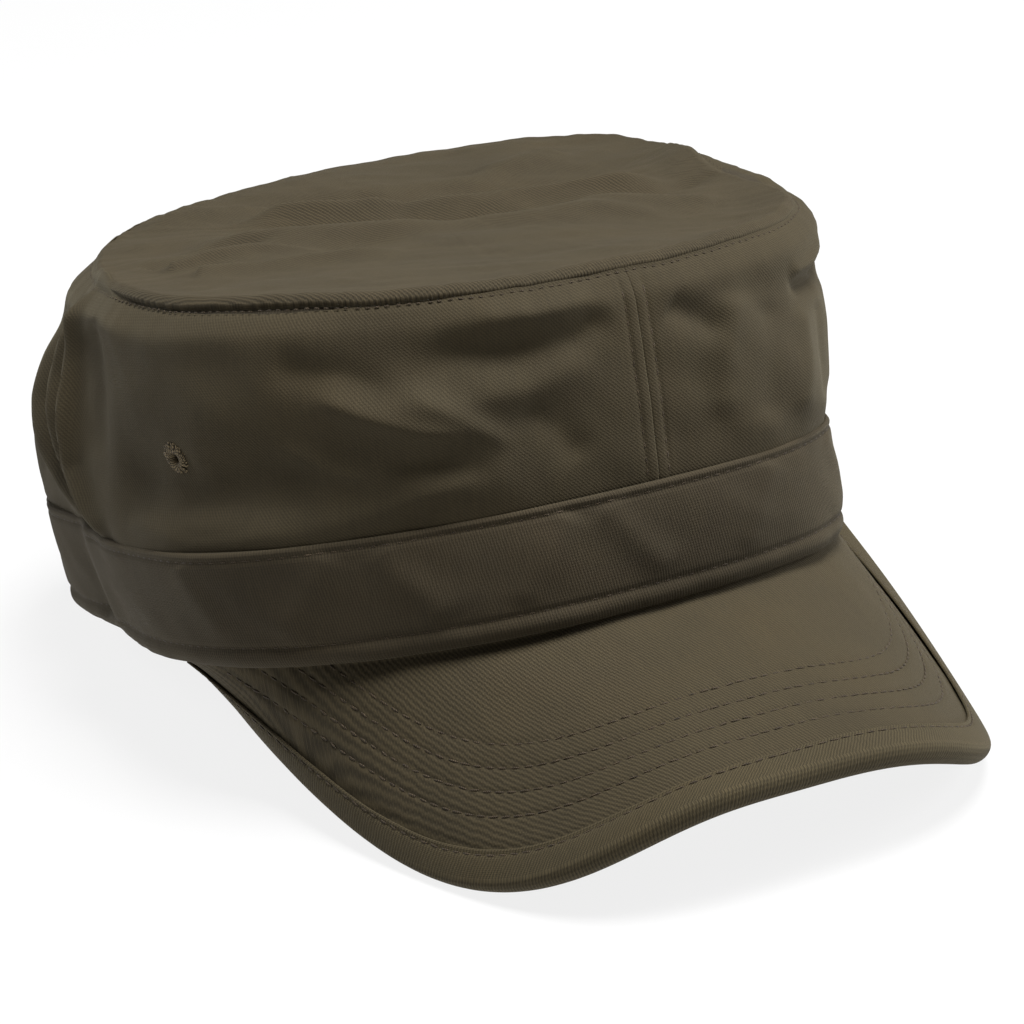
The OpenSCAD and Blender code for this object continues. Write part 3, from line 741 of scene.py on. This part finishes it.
# ---------------------------------------------------------------- outer band
BAND_OFF = 1.5  # the band's outer face off the crown's
BAND_ROWS = (4.8, BAND_H - 1.9)  # height of its two rows of stitches


def band_relief(phi, z):
    x = arc_mm(phi)
    r = 0.75 * noise2(x / 26 + 3, z / 26, 51) + 0.3 * noise2((x + z) / 11, z / 9, 52)
    r = r + 0.2 * noise2(x / 5.0, 0.5 + 0 * z, 53) * np.exp(-z / 5.0)
    r = r + 0.16 * noise2(x / 4.2, 0.5 + 0 * z, 54) * np.exp(-(BAND_H - z) / 4.0)
    for row, depth, w in zip(BAND_ROWS, (0.42, 0.34), (0.75, 0.7)):
        r = r - depth * np.exp(-((z - row) / w) ** 2)
    r = r + 0.42 * np.exp(-((z - 2.3) / 1.5) ** 2)
    # faint upright creases at the front and right, and dents behind the right side
    for a, lean, high in ((-58, 3, 0.6), (-44, -4, 0.9), (-31, 4, 1.0), (-16, -4, 0.9), (-4, 4, 0.8),
                          (13, -3, 0.6), (33, 3, 0.6)):
        r = r + fold(phi, z, [(a - lean, 25), (a, 15), (a + lean, 6)], high, 3.4, 0.9, (0.1, 0.2))
    r = r + fold(phi, z, [(-96, 27), (-92, 14), (-90, 2)], 1.1, 6.0, 0.9, (0.0, 0.1))
    r = r + fold(phi, z, [(-106, 27), (-103, 14), (-101, 2)], -1.3, 6.0, 0.9, (0.0, 0.1))
    return r


def band_piece():
    end = 156.6
    phi = np.concatenate([np.arange(-end, -150, 0.3), np.arange(-150, 150, 0.6),
                          np.arange(150, end + 0.01, 0.3)])
    z = np.concatenate([np.linspace(0.0, 7, 18), np.linspace(7.5, BAND_H - 4, 20),
                        np.linspace(BAND_H - 3.6, BAND_H, 14)])
    P, Z = np.meshgrid(phi, z, indexing="ij")
    rel = band_relief(P, Z)
    top_roll = -0.95 * np.exp(-(BAND_H - Z) / 0.42)
    low_roll = -0.85 * np.exp(-Z / 0.5)
    outer = wall(P, Z, BAND_OFF + rel + top_roll + low_roll)
    inner = wall(P, Z, 0.12 + np.minimum(rel, 0) * 0.2)
    ob = shell("Hat_band", outer, inner, cloth_uv(P, Z))
    finish_piece(ob, "cap", M_BAND, "twill", "hat_band")


band_piece()


# ---------------------------------------------------------------- peak
def spow(x, p):
    return np.sign(x) * np.abs(x) ** p


RIM_DROP = 0.6


def peak_inner(s):
    a = 71.0 * s
    base = wall(a, 0.0, -PLY)
    base[..., 2] = -RIM_DROP
    return base


def peak_outer(s):
    t = rad(90.0 * s)
    c = np.clip(np.cos(t), 0, 1)
    return np.stack([
        PEAK_W / 2 * spow(np.sin(t), 2 / 3.2),
        -28.0 - (RIM_A + REACH - 28.0) * c ** (2 / 1.63),
        -RIM_DROP - DROP * c ** 0.65 - CORNER * np.sin(2 * t) ** 2
        + 3.0 * np.exp(-((s + 0.08) / 0.22) ** 2) - 0.4 * np.exp(-((s + 0.52) / 0.14) ** 2)], -1)


def peak_surface(s, u):
    a, b = peak_inner(s), peak_outer(s)
    u = np.asarray(u, float)[..., None]
    return a + (b - a) * u


def peak_normal(s, u):
    h = 0.004
    along = peak_surface(s + h, u) - peak_surface(s - h, u)
    out = peak_outer(s) - peak_inner(s)
    n = np.cross(out, along)
    return n / np.linalg.norm(n, axis=-1, keepdims=True)


def peak_point(s, u, level):
    return peak_surface(s, u) + np.asarray(level, float)[..., None] * peak_normal(s, u)


def edge_out(s):
    h = 0.004
    a = peak_outer(s + h) - peak_outer(s - h)
    n = np.cross(a, peak_normal(s, np.ones_like(s)))
    return n / np.linalg.norm(n, axis=-1, keepdims=True)


def across(s):
    return np.sum((peak_outer(s) - peak_inner(s)) * edge_out(s), -1)


S_END = 0.985
S_FINE = np.sin(np.linspace(-math.pi / 2, math.pi / 2, 321)) * S_END
ROWS = tuple(BINDING_W + 7.6 + 5.6 * k for k in range(4))
ROW_REACH = tuple(0.84 - 0.035 * k for k in range(4))


def peak_length():
    p = peak_outer(S_FINE)
    l = np.concatenate([[0], np.cumsum(np.linalg.norm(np.diff(p, axis=0), axis=1))])
    return l - l[len(l) // 2]


PEAK_ARC = peak_length()


def peak_relief(s, d, under=False):
    """Stitched channels and slight waves; d is the distance from the peak's edge in mm."""
    arc = np.interp(s, S_FINE, PEAK_ARC)
    r = 0.22 * noise2(arc / 30 + 4, d / 22, 61) + 0.10 * noise2(arc / 8, d / 8 + 3, 62)
    for row, reach in zip(ROWS, ROW_REACH):
        on = smooth(reach + 0.03 - np.abs(s), 0, 0.05)
        bead = 1 + 0.25 * np.sin(2 * math.pi * arc / 3.1)
        r = r - on * 0.27 * bead * np.exp(-((d - row) / 0.7) ** 2)
    r = r + 0.10 * smooth(d, ROWS[0] - 5, ROWS[0]) * smooth(-d, -ROWS[3] - 6, -ROWS[3])
    r = r + 0.15 * np.exp(-((d - BINDING_W - 0.8) / 1.0) ** 2) * (0 if under else -1)
    return r


def peak_cover(name, level, thick, mat, node, under=False):
    s = S_FINE
    u = np.concatenate([np.linspace(0, 0.5, 36), np.linspace(0.51, 1.0, 74)])
    S, U = np.meshgrid(s, u, indexing="ij")
    A = np.maximum(across(s), 1.5)[:, None]
    D = (1 - U) * A
    Uc = 1 - np.maximum(D, 0.25) / A
    rel = peak_relief(S, D, under) * smooth(A, 4, 20)
    hi = peak_point(S, Uc, level + (rel if not under else 0 * rel))
    lo = peak_point(S, Uc, level - thick + (0.0 if not under else 0.5 * rel))
    uv = np.stack([peak_surface(S, U)[..., 0], peak_surface(S, U)[..., 1] * 1.12], -1)
    if not under:
        # the seam allowance turns up behind the band
        flange = [wall(71.0 * s, z, o) for z, o in ((1.9, -0.2), (1.0, -0.25), (0.2, -0.4))]
        inward = np.stack([np.sin(rad(71.0 * s)), -np.cos(rad(71.0 * s)), 0 * s], -1)
        inside = [p - inward * 0.6 for p in flange]
        hi = np.concatenate([np.stack(flange, 1), hi], 1)
        lo = np.concatenate([np.stack(inside, 1), lo], 1)
        first = uv[:, :1]
        uv = np.concatenate([first + np.array([0.0, k]) for k in (2.4, 1.6, 0.8)] + [uv], 1)
        # and the cover turns down over the board at both ends of the peak
        for end in (0, -1):
            beyond = hi[end] - hi[end + 1 if end == 0 else end - 1]
            beyond /= np.linalg.norm(beyond, axis=-1, keepdims=True)
            down = -np.broadcast_to(peak_normal(np.full(1, s[end]), np.full(1, 0.5)), beyond.shape)
            hi_rows = [hi[end] + 0.5 * beyond + 0.12 * down, hi[end] + 0.75 * beyond + 0.8 * down,
                       hi[end] + 0.75 * beyond + PEAK_T * down]
            lo_rows = [lo[end] + 0.04 * beyond, lo[end] + 0.06 * beyond + 0.2 * down,
                       lo[end] + 0.06 * beyond + (PEAK_T - COVER) * down]
            uv_rows = [uv[end] + np.array([k, 0.0]) for k in (0.6, 1.4, 4.4)]
            if end == 0:
                hi, lo = np.concatenate([hi_rows[::-1], hi]), np.concatenate([lo_rows[::-1], lo])
                uv = np.concatenate([uv_rows[::-1], uv])
            else:
                hi, lo = np.concatenate([hi, hi_rows]), np.concatenate([lo, lo_rows])
                uv = np.concatenate([uv, uv_rows])
    ob = shell(name, hi, lo, uv)
    return finish_piece(ob, "cap", mat, "twill", node)


peak_cover("Peak_top_cover", 0.0, COVER, M_PEAK, "peak_top_cover")
peak_cover("Peak_under_cover", -PEAK_T + COVER, COVER, M_PEAK, "peak_under_cover", True)


def peak_binding_piece():
    s = S_FINE
    A = np.maximum(across(s), 1.0)
    w = np.minimum(BINDING_W, A - 0.4)
    arc = PEAK_ARC
    wave = 0.25 * noise2(arc / 16, 0 * arc, 71)
    e = edge_out(s)
    sec, uv = [], []
    lip, nose, top, bot = 0.6, 1.5, PEAK_GAP, -PEAK_T - PEAK_GAP

    def add(d, level, v):
        sec.append(peak_point(s, 1 - d / A, level + 0 * s))
        uv.append(np.stack([arc, v + 0 * arc], -1))

    def add_nose(out, level, v):
        sec.append(peak_point(s, np.ones_like(s), level + 0 * s) + out * e)
        uv.append(np.stack([arc, v + 0 * arc], -1))

    # lower lip, nose, upper lip with its rolled inner edge
    ww = w + wave
    puff = 0.22 + 0.12 * noise2(arc / 9, 0 * arc + 0.5, 72)
    for k in np.linspace(0, 1, 8):
        add(ww * 0.94 * (1 - k), bot - lip - 0.3 * math.sin(math.pi * k), -12 + 10 * k)
    for a in np.linspace(-80, 80, 13):
        mid, half = (top + lip + bot - lip) / 2, (top + lip - bot + lip) / 2
        add_nose(nose * 0.25 + (nose * 1.25) * math.cos(rad(a)), mid + half * math.sin(rad(a)), a / 40)
    for k in np.linspace(0, 1, 14):
        d = ww * k
        lvl = top + lip + puff * np.sin(math.pi * np.clip(k * 1.05, 0, 1)) * 0.8
        lvl = lvl + 0.14 * math.exp(-((k - 0.96) / 0.05) ** 2) - 0.26 * math.exp(-((k - 0.84) / 0.06) ** 2)
        add(d, lvl, 2 + 10 * k)
    add(ww + 0.15, top + lip * 0.55, 12.6)
    add(ww, top + 0.05, 13)
    add(ww * 0.5, top, 8)
    add(0 * ww + 0.4, top, 4)
    add_nose(0.2, (top + bot) / 2, 0)
    add(0 * ww + 0.4, bot, -4)
    add(ww * 0.5, bot, -8)
    add(ww * 0.94, bot - 0.05, -12)
    sections = np.stack(sec, 1)
    ob = tube_sections("Peak_binding", sections, np.stack(uv, 1))
    return finish_piece(ob, "cap", M_BIND, "twill", "peak_binding")


peak_binding_piece()


# ---------------------------------------------------------------- inside of the crown
def wall_strip(name, phis, low, high, inner_off, outer_off, n, mat, slot, node, relief=None, ring=False,
               edge=0.25):
    """A thin sewn layer of the wall between two heights, with soft edges."""
    t = np.unique(np.concatenate([np.linspace(0, 1, n), np.linspace(0, 0.04, 4), np.linspace(0.96, 1, 4)]))
    P, T = np.meshgrid(phis, t, indexing="ij")
    lo, hi = np.broadcast_to(low, phis.shape)[:, None], np.broadcast_to(high, phis.shape)[:, None]
    Z = lo + (hi - lo) * T
    rel = 0 * P if relief is None else relief(P, Z)
    near = np.minimum(Z - lo, hi - Z)
    soft = edge * np.exp(-near / 0.5)
    outer, inner = wall(P, Z, outer_off + rel - soft), wall(P, Z, inner_off + rel + soft)
    ob = shell(name, outer, inner, cloth_uv(P, Z), ring)
    return finish_piece(ob, "cap", mat, slot, node)


END = 156.2
AROUND = np.concatenate([np.arange(-END, END, 1.0), [END]])
RING = np.arange(-180, 180, 0.75)


def sweat_waves(P, Z):
    return (0.35 * noise2(P / 9, Z / 20, 81) * smooth(Z, 6, 30)
            + 0.15 * noise2(P / 3, 0 * Z, 82) * smooth(Z, 20, 33))


wall_strip("Sweatband", AROUND, 0.8, SWEAT_H, -3.95, -3.15, 24, M_SWEAT, "sweatband_twill", "sweatband",
           lambda P, Z: np.minimum(sweat_waves(P, Z), 0.0))
wall_strip("Sweatband_core", AROUND, 2.0, SWEAT_H - 2, -3.0, -2.1, 10, M_BOARD, "board", "sweatband_core",
           edge=0.1)
# the tapes follow the crown's folds on their inner side
TAPE_IN, TAPE_OUT = -1.95, -1.25
wall_strip("Top_seam_tape", RING, crown_height(RING) - 9, crown_height(RING) - 0.3, TAPE_IN, TAPE_OUT, 14,
           M_TAPE, "lining_tape", "top_seam_tape", crown_relief, ring=True)
wall_strip("Front_seam_tape", np.linspace(-4.4, 4.4, 13), 1.0, FRONT_H - 9.5, TAPE_IN, TAPE_OUT, 50,
           M_TAPE, "lining_tape", "front_seam_tape", crown_relief)
wall_strip("Rear_seam_tape", np.linspace(175.6, 184.4, 13), 46.0, BACK_H - 9.5, TAPE_IN, TAPE_OUT, 40,
           M_TAPE, "lining_tape", "rear_seam_tape", lambda P, Z: crown_relief((P + 180) % 360 - 180, Z))


def peak_board_piece():
    s = S_FINE[::2]
    u = np.linspace(0, 1, 24)
    S, U = np.meshgrid(s, u, indexing="ij")
    A = np.maximum(across(s), 1.5)[:, None]
    Uc = 1 - np.maximum((1 - U) * A, 0.3) / A
    top = -COVER - PEAK_GAP
    hi, lo = peak_point(S, Uc, top + 0 * S), peak_point(S, Uc, top - BOARD + 0 * S)
    ob = shell("Peak_board", hi, lo, peak_surface(S, U)[..., :2])
    return finish_piece(ob, "cap", M_BOARD, "board", "peak_board")


peak_board_piece()

# ---------------------------------------------------------------- opening at the back
ARCH_POWER = 3.0


def arch_place(turn, half, height, off):
    phi = 180 + half * spow(np.cos(rad(turn)), 2 / ARCH_POWER)
    z = np.maximum(1.2, 0.3 + height * spow(np.sin(rad(turn)), 2 / ARCH_POWER))
    return wall(phi, z, off)


def arch_binding_piece():
    turn = np.linspace(0, 180, 181)
    loop, uv = [], []
    steps = np.diff(arch_place(turn, 23.5, 43, 0.0), axis=0)
    arc = np.concatenate([[0], np.cumsum(np.linalg.norm(steps, axis=1))])
    wave = 0.12 * noise2(arc / 7, 0 * arc, 91)
    # round the edge of the crown, band and sweatband: outer lip, fold, inner lip
    prof = [(1.9, 1.55), (1.75, 2.15), (1.1, 2.45), (0.4, 2.35), (-0.1, 1.9), (-0.5, 0.9), (-0.6, -0.6),
            (-0.6, -2.4),
            (-0.3, -3.9), (0.2, -4.5), (0.9, -4.7), (1.6, -4.5), (1.9, -4.1), (1.75, -3.9), (0.9, -3.75),
            (0.5, -2.0), (0.5, 0.6), (1.0, 1.35)]
    for k, (out, off) in enumerate(prof):
        half = ARCH_HALF - 1.0 + out * 0.62
        high = ARCH_H - 2.0 + out
        loop.append(arch_place(turn, half, high, off + wave * (1 if abs(off) > 1 else 0)))
        uv.append(np.stack([arc, 0 * arc + k * 1.1], -1))
    ob = tube_sections("Arch_binding", np.stack(loop, 1), np.stack(uv, 1))
    return finish_piece(ob, "cap", M_BIND, "twill", "arch_binding")


arch_binding_piece()

TAB_LOW, TAB_H, TAB_REACH, TAB_ROUND = 4.0, 19.0, 17.0, 5.0
TAB_MID = TAB_LOW + TAB_H / 2
HINGE = 180 - (ARCH_HALF - 1.0) * (1 - ((TAB_LOW + TAB_H) / (ARCH_H - 2)) ** 3) ** (1 / 3) + 1.2
TAB_END = 180 + TAB_REACH


def tab_half(phi, half):
    d = np.clip(phi - (TAB_END - TAB_ROUND), 0, TAB_ROUND) / TAB_ROUND
    return half * (0.35 + 0.65 * np.sqrt(np.maximum(1 - d * d, 0)))


def tab_piece(name, hand, inner, outer):
    start = HINGE - 1.6
    phi = np.concatenate([np.linspace(start, TAB_END - TAB_ROUND, 60),
                          TAB_END - TAB_ROUND + TAB_ROUND * np.sin(rad(np.linspace(4, 90, 20)))])
    v = np.concatenate([-1 + 0.14 * np.linspace(0, 1, 7) ** 1.5, np.linspace(-0.83, 0.83, 22),
                        1 - 0.14 * np.linspace(1, 0, 7) ** 1.5])
    P, V = np.meshgrid(phi, v, indexing="ij")
    half = tab_half(P, TAB_H / 2)
    Z = TAB_MID + half * V
    away = np.minimum((1 - np.abs(V)) * half, (TAB_END - P) * DEG)
    soft = np.sqrt(np.clip(1 - (1 - np.clip(away / 0.9, 0, 1)) ** 2, 0, 1))
    row = np.exp(-((away - 2.0) / 0.6) ** 2)
    puff = 0.16 * smooth(away, 2.2, 5) + 0.12 * noise2(P / 3, Z / 5, 93)
    mid, thick = (inner + outer) / 2, (outer - inner) / 2
    up = thick * (0.25 + 0.75 * soft) - 0.16 * row + puff * (1 if hand > 0 else 0.3)
    down = thick * (0.25 + 0.75 * soft)
    roll = np.exp(-((P - HINGE) * DEG / 1.1) ** 2)
    up, down = up + 0.25 * roll, down + 0.2 * roll
    if hand > 0:
        a, b = wall(P, Z, mid + up), wall(P, Z, mid - down)
    else:
        a, b = wall(-P, Z, mid + up), wall(-P, Z, mid - down)
    ob = shell(name, a, b, np.stack([P * DEG, Z], -1))
    return ob


def along_tab(hand, phi, mid):
    return tuple(float(c) for c in to_row(wall(hand * phi, TAB_MID, mid)))


HOOK, LOOP = (-0.6, 1.35), (-4.75, -3.05)
hook_tab = tab_piece("Hook_tab", 1, *HOOK)
loop_tab = tab_piece("Loop_tab", -1, *LOOP)
for ob, hand, layer, body, node in ((hook_tab, 1, HOOK, "hook_strap", "hook_tab"),
                                    (loop_tab, -1, LOOP, "loop_strap", "loop_tab")):
    fix_normals(ob)
    ob.data.materials.append(M_TAB)
    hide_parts(node)
    mid = sum(layer) / 2
    along_tab(hand, HINGE - 0.9, mid)
    along_tab(hand, HINGE + 0.9, mid)
    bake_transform(ob)


def patch_piece(name, hand, inner, outer, body, node, nap_side, seed):
    phi = np.linspace(180 - TAB_REACH + 2, TAB_END - 3, 130)
    z = np.linspace(TAB_LOW + 2.5, TAB_LOW + TAB_H - 2.5, 72)
    P, Z = np.meshgrid(phi, z, indexing="ij")
    rng = np.random.default_rng(seed)
    nap = rng.uniform(0, 1, P.shape)
    edge = np.minimum(np.minimum(P - phi[0], phi[-1] - P) * DEG, np.minimum(Z - z[0], z[-1] - Z))
    nap = (0.1 + 0.5 * nap) * smooth(edge, 0.3, 1.4)
    up = (outer - 0.5 + nap) if nap_side > 0 else outer + 0 * P
    down = (inner + 0.5 - nap) if nap_side < 0 else inner + 0 * P
    ob = shell(name, wall(hand * P, Z, up), wall(hand * P, Z, down), np.stack([P * DEG, Z], -1))
    return finish_piece(ob, body, M_HOOK if nap_side < 0 else M_LOOP, "hook_loop", node)


patch_piece("Hook_patch", 1, -1.75, -0.75, "hook_strap", "hook_patch", -1, 94)
patch_piece("Loop_patch", -1, -2.9, -1.9, "loop_strap", "loop_patch", 1, 95)


# ---------------------------------------------------------------- eyelets
EYE_A, EYE_Z = 62.0, 47.0


def eyelet_frame(hand):
    at = lambda a, z: wall(a, z, crown_relief(a, z))
    a = hand * EYE_A
    c = at(a, EYE_Z)
    dx = at(a + 1.2, EYE_Z) - at(a - 1.2, EYE_Z)
    dz = at(a, EYE_Z + 2) - at(a, EYE_Z - 2)
    out = np.cross(dx, dz)
    out /= np.linalg.norm(out)
    x = dx / np.linalg.norm(dx)
    return c, x, np.cross(out, x), out


def cut_hole(ob, hand, radius=1.9):
    c, x, y, out = eyelet_frame(hand)
    ring = []
    for h in (-6, 6):
        for k in range(40):
            a = 2 * math.pi * k / 40
            ring.append(c + h * out + radius * (math.cos(a) * x + math.sin(a) * y))
    faces = [(k, (k + 1) % 40, 40 + (k + 1) % 40, 40 + k) for k in range(40)]
    faces += [tuple(range(39, -1, -1)), tuple(range(40, 80))]
    tool = new_object("cutter", to_row(np.array(ring)), faces)
    fix_normals(tool)
    mod = ob.modifiers.new("hole", "BOOLEAN")
    mod.operation, mod.object, mod.solver = "DIFFERENCE", tool, "EXACT"
    deps = bpy.context.evaluated_depsgraph_get()
    me = bpy.data.meshes.new_from_object(ob.evaluated_get(deps))
    ob.modifiers.clear()
    old = ob.data
    ob.data = me
    bpy.data.meshes.remove(old)
    bpy.data.objects.remove(tool)
    me.polygons.foreach_set("use_smooth", np.ones(len(me.polygons), bool))


def eyelet_piece(name, hand, node):
    """A ring of satin stitches that wrap from the hole's edge to the outside."""
    c, x, y, out = eyelet_frame(hand)
    rng = np.random.default_rng(101 + (hand > 0))
    verts, faces, uvs = [], [], []
    count, seg = 64, 6
    for k in range(count):
        a = 2 * math.pi * k / count + rng.normal(0, 0.02)
        reach = 3.75 * (1 + rng.normal(0, 0.03))
        path = [(1.35, -1.25), (1.22, -0.5), (1.3, 0.1), (1.7, 0.45), (2.4, 0.55), (3.2, 0.38),
                (reach, 0.05), (reach + 0.08, -0.4)]
        skew = rng.normal(0, 0.03)
        rad_dir = lambda ang: math.cos(ang) * x + math.sin(ang) * y
        base = len(verts)
        for i, (r, h) in enumerate(path):
            d = rad_dir(a + skew * (r - 1.3))
            side = np.cross(out, d)
            p = path[min(i + 1, len(path) - 1)]
            q = path[max(i - 1, 0)]
            t = np.array([p[0] - q[0], p[1] - q[1]])
            t /= np.linalg.norm(t)
            nrm = -t[1] * d + t[0] * out
            w = (0.06 + 0.056 * r) * (0.7 if i in (0, len(path) - 1) else 1)
            for j in range(seg):
                b = 2 * math.pi * j / seg
                verts.append(c + r * d + h * out + w * math.cos(b) * side + 0.17 * math.sin(b) * nrm)
                uvs.append((k + i * 0.4, j / seg))
        for i in range(len(path) - 1):
            for j in range(seg):
                a0, a1 = base + i * seg + j, base + i * seg + (j + 1) % seg
                faces.append((a0, a1, a1 + seg, a0 + seg))
        faces.append(tuple(base + j for j in range(seg - 1, -1, -1)))
        faces.append(tuple(base + (len(path) - 1) * seg + j for j in range(seg)))
    ob = new_object(name, to_row(np.array(verts)), faces, np.array(uvs))
    return finish_piece(ob, "cap", M_EYELET, "eyelet_thread", node)


cut_hole(side_left, 1)
cut_hole(side_right, -1)
eyelet_piece("Eyelet_left", 1, "eyelet_left")
eyelet_piece("Eyelet_right", -1, "eyelet_right")


# ---------------------------------------------------------------- labels, left blank
def label_piece(name, centre, half, high, node, seed):
    phi = np.linspace(centre - half, centre + half, 30)
    z = np.linspace(3, high, 26)
    P, Z = np.meshgrid(phi, z, indexing="ij")
    v = (Z - 3) / (high - 3)
    curl = -0.45 * smooth(v, 0.3, 1) * (0.6 + 0.4 * noise2(P / 4, 0 * Z, seed))
    ob = shell(name, wall(P, Z, -4.15 + curl), wall(P, Z, -4.45 + curl), np.stack([P * DEG, Z], -1))
    return finish_piece(ob, "cap", M_LABEL, "label", node)


label_piece("Size_label", 134, 4.5, 17, "size_label", 96)
label_piece("Care_label", -128, 9, 30, "care_label", 97)


# ---------------------------------------------------------------- stitching
def wall_line(phi, z, off):
    phi, z = np.broadcast_arrays(np.asarray(phi, float), np.asarray(z, float))
    p = wall(phi, z, off(phi, z))
    e = 0.15
    around = wall(phi + e, z, off(phi, z)) - wall(phi - e, z, off(phi, z))
    n = np.cross(around, wall(phi, z + e, off(phi, z)) - wall(phi, z - e, off(phi, z)))
    n /= np.linalg.norm(n, axis=-1, keepdims=True)
    return p, n


def thread_piece(ob, node, body="cap", mat=None):
    return finish_piece(ob, body, mat or M_THREAD, "thread", node)


ring_phi = np.linspace(-180, 180, 1441)
thread_piece(stitches("Crown_seam_thread", [wall_line(ring_phi, crown_height(ring_phi) - 1.7, crown_relief)],
                      2.2, 1.1, 0.2, 201, 0.12), "crown_seam_thread")
rows = []
for side in (-1, 1):
    z = np.linspace(BAND_H + 0.5, FRONT_H - 2.6, 240)
    rows.append(wall_line(side * SEAM_ROW / DEG + 0 * z, z, crown_relief))
thread_piece(stitches("Front_seam_thread", rows, 3.0, 2.1, 0.24, 202, 0.14), "front_seam_thread")
rows = []
for side in (-1, 1):
    z = np.linspace(ARCH_H + 2.5, BACK_H - 2.6, 200)
    rows.append(wall_line(side * (180 - SEAM_ROW / DEG) + 0 * z, z, crown_relief))
thread_piece(stitches("Rear_seam_thread", rows, 3.0, 2.1, 0.24, 203, 0.14), "rear_seam_thread")
band_phi = np.linspace(-155.5, 155.5, 1800)
rows = [wall_line(band_phi, z + 0 * band_phi, lambda p, z: BAND_OFF + band_relief(p, z)) for z in BAND_ROWS]
thread_piece(stitches("Band_thread", rows, 2.9, 2.1, 0.24, 204, 0.16), "band_thread")
rows = []
for row, reach in zip(ROWS, ROW_REACH):
    s = np.sin(np.linspace(-1, 1, 700) * math.asin(reach))
    A = np.maximum(across(s), 1.5)
    u = 1 - row / A
    rows.append((peak_point(s, u, peak_relief(s, row + 0 * s)), peak_normal(s, u)))
thread_piece(stitches("Peak_thread", rows, 3.0, 2.3, 0.26, 205, 0.02), "peak_thread")
s = np.sin(np.linspace(-1, 1, 900) * math.asin(0.955))
A = np.maximum(across(s), 1.5)
u = 1 - 0.84 * np.minimum(BINDING_W, A - 0.4) / A
rows = [(peak_point(s, u, PEAK_GAP + 0.62 + 0 * s), peak_normal(s, u))]
thread_piece(stitches("Binding_thread", rows, 3.0, 2.2, 0.25, 206, 0.14), "binding_thread")
for name, hand, layer, body, node, seed in (
        ("Hook_tab_thread", 1, HOOK, "hook_strap", "hook_tab_thread", 207),
        ("Loop_tab_thread", -1, LOOP, "loop_strap", "loop_tab_thread", 208)):
    rows = []
    p = np.linspace(HINGE + 3, TAB_END - TAB_ROUND, 200)
    for z in (TAB_LOW + 2, TAB_LOW + TAB_H - 2):
        rows.append(wall_line(hand * p, z + 0 * p, lambda a, b: layer[1] - 0.05 + 0 * a))
    thread_piece(stitches(name, rows, 2.7, 2.0, 0.22, seed, 0.06), node, body)

# ---------------------------------------------------------------- floor, light and camera
CAM_AZ, CAM_EL, CAM_ROLL, CAM_DIST, CAM_F = -24.25, 10.28, -9.48, 812.4, 3.36
TARGET = np.array([0.10, -26.45, 12.18])
az, el, roll = rad(CAM_AZ), rad(CAM_EL), rad(CAM_ROLL)
back = np.array([math.sin(az) * math.cos(el), -math.cos(az) * math.cos(el), math.sin(el)])
right = np.array([math.cos(az), math.sin(az), 0.0])
up = np.cross(back, right)
right, up = math.cos(roll) * right + math.sin(roll) * up, -math.sin(roll) * right + math.cos(roll) * up
turn_row = lambda v: np.array([v[0], v[1] * CT + v[2] * ST, v[2] * CT - v[1] * ST])
eye = to_row(TARGET + CAM_DIST * back)
cam = bpy.data.objects.new("Camera", bpy.data.cameras.new("Camera"))
bpy.context.scene.collection.objects.link(cam)
m = Matrix.Identity(4)
for col, v in enumerate((turn_row(right), turn_row(up), turn_row(back), eye)):
    for row_i in range(3):
        m[row_i][col] = float(v[row_i])
cam.matrix_world = m
cam.data.sensor_width = 36.0
cam.data.lens = 36.0 * CAM_F
cam.data.clip_start, cam.data.clip_end = 0.05, 30.0
bpy.context.scene.camera = cam

floor_m = Nodes("Floor_white")
n = floor_m.noise(floor_m.obj(), 3.0, 2)
greys = floor_m.ramp(n, [(0.0, (0.095, 0.095, 0.095, 1)), (1.0, (0.105, 0.105, 0.105, 1))])
floor_m.set(floor_m.bsdf.inputs["Base Color"], greys)
floor_m.bsdf.inputs["Emission Color"].default_value = (1, 1, 1, 1)
floor_m.bsdf.inputs["Emission Strength"].default_value = 0.84
floor_m.bsdf.inputs["Roughness"].default_value = 0.9
floor_m.bsdf.inputs["Specular IOR Level"].default_value = 0.1
bpy.ops.mesh.primitive_plane_add(size=40.0, location=(0, 0, float(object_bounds()[0][2])))
floor = bpy.context.object
floor.name = "Floor"
floor.data.materials.append(floor_m.mat)


def area_light(name, loc, target, size, power, colour=(1, 1, 1)):
    d = bpy.data.lights.new(name, "AREA")
    d.shape, d.size, d.size_y, d.energy, d.color = "RECTANGLE", size[0], size[1], power, colour
    o = bpy.data.objects.new(name, d)
    o.location = loc
    o.rotation_euler = (Vector(loc) - Vector(target)).to_track_quat("Z", "Y").to_euler()
    bpy.context.scene.collection.objects.link(o)
    return o


world = bpy.data.worlds.new("Studio")
bpy.context.scene.world = world
world.use_nodes = True
world.node_tree.nodes["Background"].inputs[0].default_value = (1.0, 1.0, 1.0, 1)
world.node_tree.nodes["Background"].inputs[1].default_value = 0.10
area_light("Top", (0.20, -0.32, 1.66), (0, 0, 0.05), (0.75, 0.65), 50.0)
area_light("Right", (1.5, -0.45, 0.75), (0, 0, 0.05), (0.4, 0.8), 20.0)
area_light("Left", (-0.95, 1.3, 0.9), (0, 0, 0.05), (0.4, 0.7), 9.0)
bpy.context.scene.view_settings.view_transform = "Standard"
